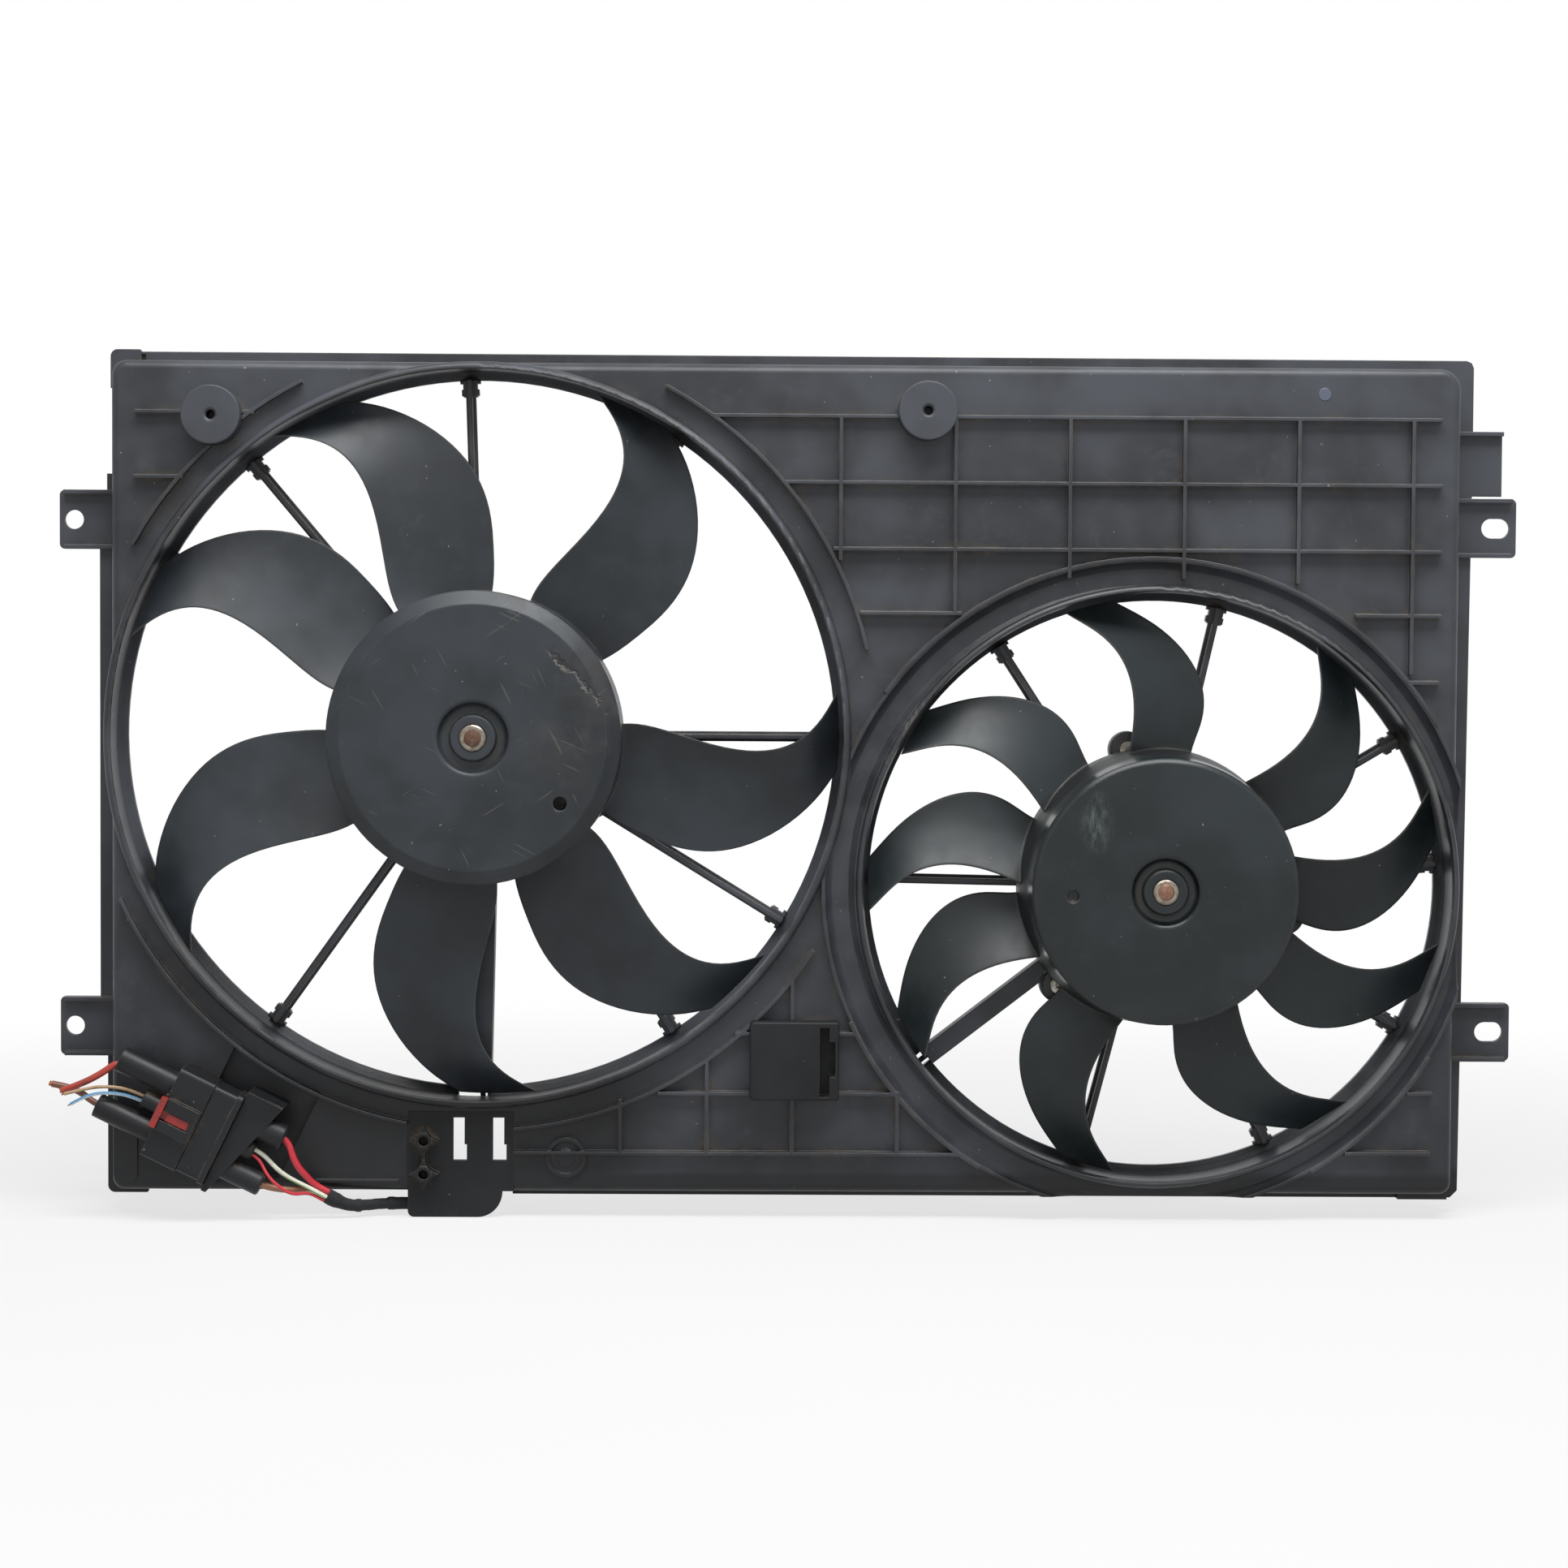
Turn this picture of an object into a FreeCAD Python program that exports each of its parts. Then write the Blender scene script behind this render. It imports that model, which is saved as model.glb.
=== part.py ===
import FreeCAD, Part
import math
import os

# Twin radiator fan with its shroud, for a passenger car. Millimetres.
# X runs to the right and Z up, as seen from the engine side. +Y points to the radiator.
# The origin is the middle of the whole unit's box. Depths are given as the distance
# in front of the rear plane, the one that meets the radiator, and called "front".

from FreeCAD import Vector

# Overall depth, and the plate and wall of the shroud
DEPTH = 64.0
WALL = 2.5
PLATE_FRONT = 26.0
PLATE_REAR = PLATE_FRONT - WALL
EDGE_ROUND = 4.0

# Panel outline at its front face
LEFT, RIGHT, BOTTOM, TOP = -323.5, 320.5, -195.5, 201.2
CORNER_TL, CORNER_TR, CORNER_BR, CORNER_BL = 7.0, 10.0, 5.5, 5.5

# Sealing flange round the rear edge
FLANGE_T = 3.0
FLANGE_TOP, FLANGE_BOTTOM, FLANGE_LEFT = 206.9, -200.3, -333.0
FLANGE_RIGHT_TOP, FLANGE_RIGHT_LOW = 330.8, 328.0
FLANGE_CORNER_R = 3.5
FLANGE_BOTTOM_START = -133.0
HUMP_X, HUMP_TOP = (-327.7, -313.0), 208.0
FOOT_X, FOOT_TOP = (-329.5, -310.0), -130.0
NOTCH_X, NOTCH_FLOOR = (-312.9, -310.6), 1.0

# Mounting ears: round holes on the left, slots across on the right
EAR_PITCH = 245.0
EAR_UPPER_Z = 126.0
EAR_H = 28.4
EAR_HOLE_X = 345.3
EAR_HOLE_R = 4.6
SLOT_X = 342.3
SLOT_L, SLOT_W = 13.7, 9.5
EAR_END = 352.3
EAR_T = 3.0
EAR_RIB_T, EAR_RIB_H = 2.0, 4.0

# Fans: axis, blade tip, bore of the collar, and the hub
BIG = dict(
    x=-148.5, z=23.1, tip_r=172.5, bore_r=175.0, collar_r=178.0, ledge_r=171.0,
    hub_face_r=62.6, hub_front_r=69.2, hub_rear_r=69.2, hub_bevel=5.0, hub_front=62.0,
    shaft_r=4.0, clip_r=6.15, boss_r=(10.0, 11.4), floor_r=14.2, dish_r=17.4, tip_front=64.0,
    case_r=58.0, lug_r=62.0, lug_angles=(90.0, 210.0, 330.0), ring_r=(50.0, 60.0),
    outlet=270.0, outlet_w=8.0,
)
SMALL = dict(
    x=176.9, z=-47.5, tip_r=138.5, bore_r=141.5, collar_r=144.5, ledge_r=137.5,
    hub_face_r=61.0, hub_front_r=62.8, hub_rear_r=66.8, hub_bevel=1.5, hub_front=62.0,
    shaft_r=3.8, clip_r=5.9, boss_r=(9.8, 11.1), floor_r=13.6, dish_r=16.6, tip_front=63.7,
    case_r=52.0, lug_r=66.5, lug_angles=(101.0, 227.0, 347.0), ring_r=(46.0, 56.0),
    outlet=217.6, outlet_w=5.0,
)
LIP_FRONT = 33.0
LEDGE_T = 4.0
STRUT_DEPTH = 10.0
STRUT_W = 4.8
STRUT_END_W, STRUT_END_L, STRUT_END_T = 6.8, 8.0, 6.0
MOUNT_T = 8.0
LUG_R = 7.6
HUB_REAR = 14.0
HUB_WALL = 2.8
DISH_FLOOR = 57.5

# Blades: radius, angle of the trailing edge and of the leading edge from the blade's root mark
BIG_BLADE = (
    (67.5, -0.5, 36.5), (90.0, 0.0, 33.3), (110.0, 2.0, 29.8), (130.0, 6.3, 28.5),
    (150.0, 13.6, 30.2), (162.0, 19.4, 33.6), (172.5, 26.0, 38.5),
)
BIG_MARKS = (32.5, 86.0, 126.0, 179.0, 241.0, 284.5, 328.8)
SMALL_BLADE = (
    (63.5, -0.3, 28.6), (82.0, -0.5, 23.6), (98.0, 1.8, 22.9), (112.0, 7.3, 24.7),
    (126.0, 15.4, 29.0), (138.5, 23.6, 34.0),
)
SMALL_MARKS = (23.0, 75.0, 119.0, 151.0, 183.0, 228.0, 278.0, 315.0, 346.0)
BLADE_FRONT = (30.0, 26.0)
BLADE_REAR = (15.5, 14.5)
BLADE_T = (3.0, 1.8)
BLADE_CAMBER = 2.0
CHORD_STATIONS = 5

# Struts that carry each motor, as angles about its fan; the wide one is a cable channel
BIG_STRUTS = (0.0, 57.0, 92.0, 130.2, 151.0, 204.0, 234.5, 303.0, 328.5)
SMALL_STRUTS = (4.5, 31.0, 77.2, 123.2, 179.0, 255.5, 294.0, 330.0)
BIG_CHANNEL = (268.8, 18.0)
SMALL_CHANNEL = (217.6, 9.0)
CHANNEL_WALL = 2.0

# Ribs on the front of the panel
RIB_T = 1.7
RIB_FRONT = 31.0
RIB_COLUMN_X = 23.9
RIB_COLUMN_STEP = 54.6
BIG_ARC = (-147.0, 23.0, 188.7)
SMALL_ARC = (173.2, -47.5, 157.4)

# Round pads: x, z, radius, front
PADS = ((-274.6, 174.7, 14.0, 38.0), (64.9, 178.9, 14.0, 38.0))
PAD_HOLE_R = 2.2
PAD_HOLE_DEPTH = 11.0
PAD_DRAFT = 0.05
LOW_PAD = (-105.9, -178.8, 9.8, 28.5)

# Cable tab at the bottom edge
TAB_LEFT, TAB_RIGHT, TAB_TOP, TAB_BOTTOM = -181.8, -131.0, -157.0, -208.0
TAB_CORNER_R = 12.0
TAB_LEFT_R = 3.0
TAB_SLOTS = ((-160.0, -154.6), (-141.0, -135.6))
TAB_SLOT_Z = (-180.5, -160.0)
TAB_SLOT_STEP, TAB_SLOT_WIDER = -172.9, 1.1
BOSS_X, BOSS_Z = -173.8, (-170.6, -186.6)
BOSS_R, BOSS_HOLE_R, BOSS_FRONT = 3.9, 2.4, 33.0
STAR_TIP, STAR_WAIST = 7.3, 3.4

# Holder for the small control module
HOLDER = (-18.0, 24.6, -149.7, -112.1)
HOLDER_FRONT = 38.0
HOLDER_SLOT = (15.3, 20.0, -148.0, -114.8)
HOLDER_STEP = (22.8, -138.3, -121.5)
HOLDER_CORNER_R = 2.5

# Connector, in its own axes: s along the plug, t across it, and the depth
CONN_X, CONN_Z, CONN_ANGLE = -280.0, -162.4, -26.0
CONN_MID = 39.0
BAY_S0, BAY_S1, BAY_T0, BAY_T1, BAY_FLOOR = -2.0, 44.5, -24.0, 41.0, 20.0
CONN_HALF_H, CONN_HALF_D = 23.0, 11.0
PLUG_L, SOCKET_L = 18.0, 14.6
TUBE_T = 12.4
PLUG_TUBE_R = 6.3
MID_TUBE_R = 4.8
TUBE_BORE, MID_BORE = 4.2, 3.4
OUTLET_ROUND = 1.4
TERMINAL_REAR = -17.6
# Circuits: place across the connector and half the width of the blade
TERMINALS = ((12.4, 3.0), (-12.4, 3.0), (1.6, 0.5), (-1.6, 0.5))
LATCH_FRONT = 54.0

# Wires
RED_D, BROWN_D, THIN_D = 3.2, 3.2, 1.6
WHITE_D, TAN_D, THIN_RED_D = 2.2, 3.2, 1.6
SLEEVE_D, SLEEVE_START_D = 5.6, 7.4
LEAD_D = 2.6

CLEAR = 0.3
RUNNING = 0.05
os.makedirs("parts", exist_ok=True)


def at(x, z, front):
    """Point from its place on the front view and its distance in front of the rear plane."""
    return Vector(x, DEPTH / 2 - front, z)


def save(name, *solids):
    shape = solids[0] if len(solids) == 1 else Part.Compound(list(solids))
    if not shape.isValid():
        print("not valid:", name)
    shape.exportStep("parts/" + name + ".step")
    print(name, len(shape.Solids), "solid(s),", round(shape.Volume / 1000.0, 2), "cm3")


def fused(shapes):
    """One solid out of several that touch or overlap."""
    first = shapes[0]
    if len(shapes) > 1:
        first = first.multiFuse(list(shapes[1:]))
    return first.removeSplitter()


def box(x0, x1, z0, z1, rear, front):
    return Part.makeBox(x1 - x0, front - rear, z1 - z0, at(x0, z0, front))


def rod(x, z, r, rear, front):
    """Cylinder along the depth."""
    return Part.makeCylinder(r, front - rear, at(x, z, front), Vector(0, 1, 0))


def prism(wire_points, rear, front):
    """Straight-sided outline in the front view, made solid between two depths."""
    points = [at(x, z, rear) for x, z in wire_points]
    face = Part.Face(Part.makePolygon(points + [points[0]]))
    return face.extrude(Vector(0, rear - front, 0))


def rounded_block(x0, x1, z0, z1, radii, rear, front):
    """Block with rounded corners, in the order top left, top right, bottom right, bottom left."""
    corners = ((x0, z1), (x1, z1), (x1, z0), (x0, z0))
    block = box(x0, x1, z0, z1, rear, front)
    for (cx, cz), r in zip(corners, radii):
        for edge in block.Edges:
            ends = [v.Point for v in edge.Vertexes]
            upright = len(ends) == 2 and abs(ends[0].y - ends[1].y) > (front - rear) * 0.9
            if upright and abs(ends[0].x - cx) < 1e-3 and abs(ends[0].z - cz) < 1e-3:
                block = block.makeFillet(r, [edge])
                break
    return block


def revolved(profile, fan):
    """Turn a closed profile of (radius, front) about a fan's axis. A middle point makes an arc."""
    edges = []
    last = Vector(profile[0][0], DEPTH / 2 - profile[0][1], 0)
    for item in list(profile[1:]) + [profile[0]]:
        end = Vector(item[0], DEPTH / 2 - item[1], 0)
        if len(item) == 4:
            middle = Vector(item[2], DEPTH / 2 - item[3], 0)
            edges.append(Part.Arc(last, middle, end).toShape())
        else:
            edges.append(Part.makeLine(last, end))
        last = end
    face = Part.Face(Part.Wire(edges))
    solid = face.revolve(Vector(0, 0, 0), Vector(0, 1, 0), 360)
    solid.translate(Vector(fan["x"], 0, fan["z"]))
    return solid


def polar(fan, r, angle):
    a = math.radians(angle)
    return fan["x"] + r * math.cos(a), fan["z"] + r * math.sin(a)


def spoke(fan, angle, r0, r1, width, rear, front):
    """Straight bar along a radius."""
    bar = Part.makeBox(r1 - r0, front - rear, width, Vector(r0, DEPTH / 2 - front, -width / 2))
    bar.rotate(Vector(0, 0, 0), Vector(0, -1, 0), angle)
    bar.translate(Vector(fan["x"], 0, fan["z"]))
    return bar


def arc_rib(circle, start, end, rear=PLATE_REAR, front=RIB_FRONT):
    """Upright rib that follows part of a circle, between two angles."""
    x, z, r = circle
    outer = r + RIB_T / 2
    face_outer = Part.makeCylinder(outer, front - rear, at(x, z, front), Vector(0, 1, 0))
    ring = face_outer.cut(rod(x, z, outer - RIB_T, rear - 1, front + 1))
    reach = outer * 1.6
    wedge = [(x, z)]
    steps = max(2, int(abs(end - start) / 60.0) + 1)
    for i in range(steps + 1):
        a = math.radians(start + (end - start) * i / steps)
        wedge.append((x + reach * math.cos(a), z + reach * math.sin(a)))
    return ring.common(prism(wedge, rear - 1, front + 1))


def h_rib(z, x0, x1, front=RIB_FRONT):
    return box(x0, x1, z - RIB_T / 2, z + RIB_T / 2, PLATE_REAR, front)


def v_rib(x, z0, z1, front=RIB_FRONT):
    return box(x - RIB_T / 2, x + RIB_T / 2, z0, z1, PLATE_REAR, front)


def blade(fan, table, mark):
    """Swept blade: two smooth faces through the same outline, closed along their four edges."""
    root_r, tip_r = table[0][0], table[-1][0]
    front_rows, rear_rows = [], []
    for r, trailing, leading in table:
        out = (r - root_r) / (tip_r - root_r)
        high = BLADE_FRONT[0] + (BLADE_FRONT[1] - BLADE_FRONT[0]) * out
        low = BLADE_REAR[0] + (BLADE_REAR[1] - BLADE_REAR[0]) * out
        thick = BLADE_T[0] + (BLADE_T[1] - BLADE_T[0]) * out
        front_row, rear_row = [], []
        for i in range(CHORD_STATIONS):
            s = i / (CHORD_STATIONS - 1.0)
            x, z = polar(fan, r, mark + trailing + (leading - trailing) * s)
            bow = 4.0 * s * (1.0 - s)
            front = low + (high - low) * s - BLADE_CAMBER * bow
            local_t = thick * (0.55 + 0.45 * bow)
            front_row.append(at(x, z, front))
            rear_row.append(at(x, z, front - local_t))
        front_rows.append(front_row)
        rear_rows.append(rear_row)
    faces = []
    for rows in (front_rows, rear_rows):
        surface = Part.BSplineSurface()
        surface.interpolate(rows)
        faces.append(surface)
    front_s, rear_s = faces
    shells = [front_s.toShape(), rear_s.toShape()]
    for u_side, fixed in (("u", 0), ("u", 1), ("v", 0), ("v", 1)):
        curves = []
        for s in (front_s, rear_s):
            u0, u1, v0, v1 = s.bounds()
            if u_side == "u":
                curves.append(s.uIso((u0, u1)[fixed]).toShape())
            else:
                curves.append(s.vIso((v0, v1)[fixed]).toShape())
        shells.append(Part.makeRuledSurface(curves[0], curves[1]))
    sewn = Part.Shell(shells)
    sewn.sewShape()
    solid = Part.Solid(sewn)
    if solid.Volume < 0:
        solid.reverse()
    return solid


def fan_hub(fan):
    """Cup that covers the motor, with the boss that holds the shaft in a rounded dish."""
    face, rear_r, wall = fan["hub_front"], fan["hub_rear_r"], HUB_WALL
    boss_in, boss_out = fan["boss_r"]
    floor_r, dish_r = fan["floor_r"], fan["dish_r"]
    back = face - 3.0
    cup = revolved((
        (fan["shaft_r"], 60.5), (fan["clip_r"] + 0.3, 60.5), (fan["clip_r"] + 0.3, 61.5),
        (boss_in, 61.5), (boss_in + 0.6, 61.0, boss_in + 0.45, 61.35), (boss_out, DISH_FLOOR),
        (floor_r, DISH_FLOOR), (dish_r - 1.0, face - 1.1, floor_r + 1.6, DISH_FLOOR + 1.0),
        (dish_r + 1.2, face, dish_r - 0.1, face - 0.25),
        (fan["hub_face_r"], face), (fan["hub_front_r"], face - fan["hub_bevel"]),
        (rear_r, HUB_REAR), (rear_r - wall, HUB_REAR),
        (fan["hub_front_r"] - wall, face - fan["hub_bevel"] - 1.0), (fan["hub_face_r"] - 2.0, back),
        (dish_r + 2.0, back), (floor_r + 1.6, DISH_FLOOR - 2.4), (boss_out - 1.0, DISH_FLOOR - 2.4),
        (boss_out - 1.0, 53.0), (fan["shaft_r"], 53.0),
    ), fan)
    ribs = []
    for i in range(9):
        rib = spoke(fan, 40.0 * i + 12.0, dish_r + 2.6, fan["hub_face_r"] - 1.0, 1.8, 55.5, back + 0.5)
        ribs.append(rib)
    return fused([cup] + ribs)


def make_fan(fan, table, marks, pocket_r, pocket_at, pocket_angle, through):
    """Hub and blades as one moulding, trimmed to the tip circle."""
    hub = fan_hub(fan)
    core = revolved((
        (0.0, HUB_REAR - 6), (fan["hub_rear_r"] - 1.2, HUB_REAR - 6),
        (fan["hub_rear_r"] - 1.2, 40.0), (0.0, 40.0)), fan)
    blades = [blade(fan, table, mark).cut(core) for mark in marks]
    whole = hub.multiFuse(blades)
    skirt = rod(fan["x"], fan["z"], fan["tip_r"], 0.0, 70.0)
    whole = whole.common(skirt)
    x, z = polar(fan, pocket_at, pocket_angle)
    depth = 8.0 if through else 2.2
    return whole.cut(rod(x, z, pocket_r, fan["hub_front"] - depth, fan["hub_front"] + 1))


def collar(fan, lip_w):
    """Ring that the blade tips run in: bore, rounded lip in front and ledge at the rear."""
    bore, outer, lip = fan["bore_r"], fan["collar_r"], LIP_FRONT
    return revolved((
        (fan["ledge_r"], 0.0), (outer, 0.0), (outer, lip - 3.0),
        (outer - lip_w / 2, lip, outer - lip_w * 0.12, lip - 0.8),
        (bore - 0.5, lip - 2.6, bore - 0.4 + lip_w * 0.1, lip - 0.9),
        (bore, lip - 4.5), (bore, LEDGE_T + 2.0), (fan["ledge_r"] + 1.5, LEDGE_T),
        (fan["ledge_r"], LEDGE_T - 1.0),
    ), fan)


def channel(fan, angle, width, r0, r1):
    """Trough strut, open to the rear, that carries a motor's lead."""
    outer = spoke(fan, angle, r0, r1, width, 0.0, STRUT_DEPTH)
    inner = spoke(fan, angle, r0 - 1, r1 + 1, width - 2 * CHANNEL_WALL, -1.0, STRUT_DEPTH - CHANNEL_WALL)
    return outer.cut(inner)


def motor_mount(fan, struts, wide):
    """Centre ring with its screw bosses, and the struts out to the collar."""
    inner, outer = fan["ring_r"]
    ring = revolved(((inner, 0.0), (outer, 0.0), (outer, MOUNT_T), (inner, MOUNT_T)), fan)
    pieces = [ring]
    reach = fan["ledge_r"]
    for angle in struts:
        pieces.append(spoke(fan, angle, outer - 2.0, reach, STRUT_W * 0.45, 0.0, STRUT_DEPTH))
        pieces.append(spoke(fan, angle, outer - 2.0, reach, STRUT_W, 0.0, 3.0))
        pieces.append(strut_end(fan, angle, reach))
    trough = channel(fan, wide[0], wide[1], outer - 2.0, reach)
    mouth = spoke(fan, wide[0], outer - 14.0, reach + 5, wide[1] - 2 * CHANNEL_WALL, -1.0,
                  STRUT_DEPTH - CHANNEL_WALL)
    whole = fused(pieces).cut(mouth)
    whole = fused([whole, trough])
    holes = []
    for angle in fan["lug_angles"]:
        x, z = polar(fan, fan["lug_r"], angle)
        boss = rod(x, z, LUG_R + 1.4, 0.0, MOUNT_T)
        web = spoke(fan, angle, inner + 1, fan["lug_r"], 2 * LUG_R, 0.0, MOUNT_T)
        whole = fused([whole, boss, web])
        holes.append(rod(x, z, 2.1, -1.0, 9.0))
    room = [rod(fan["x"], fan["z"], fan["case_r"] + 1.3, MOUNT_T, STRUT_DEPTH + 1)]
    for angle in fan["lug_angles"]:
        x, z = polar(fan, fan["lug_r"], angle)
        room.append(rod(x, z, LUG_R + 1.5, MOUNT_T, STRUT_DEPTH + 1))
        room.append(spoke(fan, angle, inner, fan["lug_r"], 2 * LUG_R + 1.0, MOUNT_T, STRUT_DEPTH + 1))
    whole = whole.cut(Part.Compound(holes)).cut(mouth).cut(Part.Compound(room))
    return whole.common(rod(fan["x"], fan["z"], fan["ledge_r"] - 0.02, -1.0, STRUT_DEPTH + 1))


def strut_end(fan, angle, reach):
    """Thicker block where a strut meets the collar, with a small shoulder on each side."""
    block = spoke(fan, angle, reach - STRUT_END_L, reach, STRUT_END_W, 0.0, STRUT_END_T)
    shoulder = spoke(fan, angle, reach - STRUT_END_L + 0.6, reach - STRUT_END_L + 3.6,
                     STRUT_END_W + 1.6, 0.0, STRUT_END_T - 1.0)
    foot = spoke(fan, angle, reach - 1.6, reach, STRUT_END_W + 3.0, 0.0, STRUT_END_T - 2.0)
    return block.multiFuse([shoulder, foot])


def ear(side, z):
    """Fixing ear with a rib along its top and bottom edge and a thin web to the panel."""
    inner = LEFT + WALL if side < 0 else RIGHT - WALL
    outer = side * EAR_END
    x0, x1 = min(inner, outer), max(inner, outer)
    plate = box(x0, x1, z - EAR_H / 2, z + EAR_H / 2, 0.0, EAR_T)
    r = 2.5
    corner = []
    for edge in plate.Edges:
        ends = [v.Point for v in edge.Vertexes]
        if abs(ends[0].y - ends[1].y) > 1 and abs(ends[0].x - outer) < 1e-3:
            corner.append(edge)
    plate = plate.makeFillet(r, corner)
    pieces = [plate]
    start, end = (x0 + r, x1) if side < 0 else (x0, x1 - r)
    for low in (z - EAR_H / 2, z + EAR_H / 2 - EAR_RIB_T):
        rib = box(start, end, low, low + EAR_RIB_T, 0.0, EAR_T + EAR_RIB_H)
        pieces.append(rib)
    return pieces


def ear_hole(side, z):
    if side < 0:
        return rod(-EAR_HOLE_X, z, EAR_HOLE_R, -1.0, EAR_T + 1)
    half = (SLOT_L - SLOT_W) / 2
    middle = box(SLOT_X - half, SLOT_X + half, z - SLOT_W / 2, z + SLOT_W / 2, -1.0, EAR_T + 1)
    ends = [rod(SLOT_X + d, z, SLOT_W / 2, -1.0, EAR_T + 1) for d in (-half, half)]
    return fused([middle] + ends)


def bell_mouth():
    """Groove round the small fan, between its arc rib and the lip of its collar."""
    x, z, rim = SMALL_ARC
    inner = SMALL["collar_r"] - 5.0
    top = RIB_FRONT - 0.6
    return revolved((
        (inner, PLATE_REAR - 1.5), (rim - 3.4, PLATE_REAR - 1.5), (rim, PLATE_REAR + 1.0),
        (rim, top), (rim - 1.6, top), (inner + 2.0, 29.3, 150.0, 25.2), (inner, 29.3),
    ), {"x": x, "z": z})


def panel_ribs():
    ribs = []
    ribs.append(h_rib(176.4, -36.6, 310.5))
    ribs.append(h_rib(145.0, -2.2, 311.0))
    ribs.append(h_rib(113.5, 20.6, 311.0))
    ribs.append(h_rib(83.0, 33.4, 82.0))
    ribs.append(h_rib(83.0, 270.0, 311.0))
    ribs.append(h_rib(51.2, 296.0, 310.5))
    column_ends = (108.0, 83.0, 100.0, 100.0, 98.0, 55.0)
    for i, end in enumerate(column_ends):
        ribs.append(v_rib(RIB_COLUMN_X + RIB_COLUMN_STEP * i, end, 176.4))
    ribs.append(h_rib(176.5, -311.6, -288.0))
    ribs.append(h_rib(176.5, -262.0, -255.0))
    ribs.append(h_rib(145.7, -312.3, -288.6))
    ribs.append(h_rib(-118.5, -25.0, 33.0))
    ribs.append(h_rib(-147.4, -62.0, 54.0))
    ribs.append(h_rib(-176.3, -131.0, 84.0))
    for x, z in ((-79.9, -150.0), (-38.5, -132.0), (2.3, -92.0), (52.7, -146.0)):
        ribs.append(v_rib(x, -176.3, z))
    ribs.append(h_rib(-146.1, 297.6, 309.8))
    ribs.append(h_rib(-175.0, 268.0, 309.0))
    ribs.append(h_rib(-190.8, -226.0, -186.0, PLATE_FRONT + 1.2))
    return ribs


def flange():
    """Bars of the sealing flange: its right edge leans in a little towards the bottom."""
    r = FLANGE_CORNER_R
    right = prism(((RIGHT - 2, FLANGE_BOTTOM), (FLANGE_RIGHT_LOW - r, FLANGE_BOTTOM),
                   (FLANGE_RIGHT_LOW, FLANGE_BOTTOM + r), (FLANGE_RIGHT_TOP, TOP - 40.0),
                   (FLANGE_RIGHT_TOP, FLANGE_TOP - r), (FLANGE_RIGHT_TOP - r * 0.3, FLANGE_TOP - r * 0.3),
                   (FLANGE_RIGHT_TOP - r, FLANGE_TOP), (RIGHT - 2, FLANGE_TOP)), 0.0, FLANGE_T)
    bars = [
        box(HUMP_X[1] - 1.0, RIGHT, TOP - 2, FLANGE_TOP, 0.0, FLANGE_T),
        rounded_block(HUMP_X[0], HUMP_X[1], TOP - 12, HUMP_TOP, (r, 0.8, 0.4, 0.4), 0.0, FLANGE_T),
        right,
        box(FLANGE_BOTTOM_START, RIGHT, FLANGE_BOTTOM, BOTTOM + 2, 0.0, FLANGE_T),
        rounded_block(FOOT_X[0], FOOT_X[1], FLANGE_BOTTOM, FOOT_TOP, (0.4, 0.4, 0.8, r), 0.0, FLANGE_T),
        box(FLANGE_LEFT, LEFT + 2, EAR_UPPER_Z - EAR_PITCH + EAR_H / 2 - 2, EAR_UPPER_Z - EAR_H / 2 + 2,
            0.0, FLANGE_T),
        box(FOOT_X[0], LEFT + 2, EAR_UPPER_Z + EAR_H / 2 - 2, EAR_UPPER_Z + EAR_H / 2 + 8.0, 0.0, FLANGE_T),
        box(RIGHT, 345.0, 141.5, 172.5, 0.0, FLANGE_T),
        box(RIGHT, 345.0, 170.5, 172.5, 0.0, FLANGE_T + 4),
        box(298.0, 322.0, FLANGE_BOTTOM - 0.2, BOTTOM, 0.0, FLANGE_T + 5),
    ]
    return bars


def connector_point(s, t):
    a = math.radians(CONN_ANGLE)
    return CONN_X + s * math.cos(a) - t * math.sin(a), CONN_Z + s * math.sin(a) + t * math.cos(a)


def turned(shape):
    """Place a shape drawn in the connector's own axes, s along X and t along Z."""
    shape.rotate(Vector(0, 0, 0), Vector(0, -1, 0), CONN_ANGLE)
    shape.translate(Vector(CONN_X, 0, CONN_Z))
    return shape


def connector_bay(shape):
    """Sink the bay into the panel's plate, with side walls of the plate's thickness."""
    s0, s1, t0, t1 = BAY_S0, BAY_S1, BAY_T0, BAY_T1
    cutter = turned(box(s0, s1, t0, t1, PLATE_REAR - 1, PLATE_FRONT + 1))
    bay = turned(box(s0 - WALL, s1 + WALL, t0 - WALL, t1 + WALL, BAY_FLOOR - WALL, PLATE_REAR + 1))
    hollow = turned(box(s0, s1, t0, t1, BAY_FLOOR, PLATE_REAR + 2))
    room = box(LEFT + WALL - 0.5, RIGHT, BOTTOM + WALL - 0.5, TOP, 0, 40)
    ring_zone = rod(BIG_ARC[0], BIG_ARC[1], BIG_ARC[2] - 4.0, -1, 40)
    keep = room.cut(ring_zone)
    edge_room = box(LEFT + 6.0, RIGHT, BOTTOM + 6.0, TOP, 0, 40).cut(
        rod(BIG_ARC[0], BIG_ARC[1], BIG_ARC[2] - 1.0, -1, 40))
    cutter = cutter.common(edge_room)
    hollow = hollow.common(edge_room)
    bay = bay.common(keep).cut(hollow)
    return shape.cut(cutter).multiFuse([bay])


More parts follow.
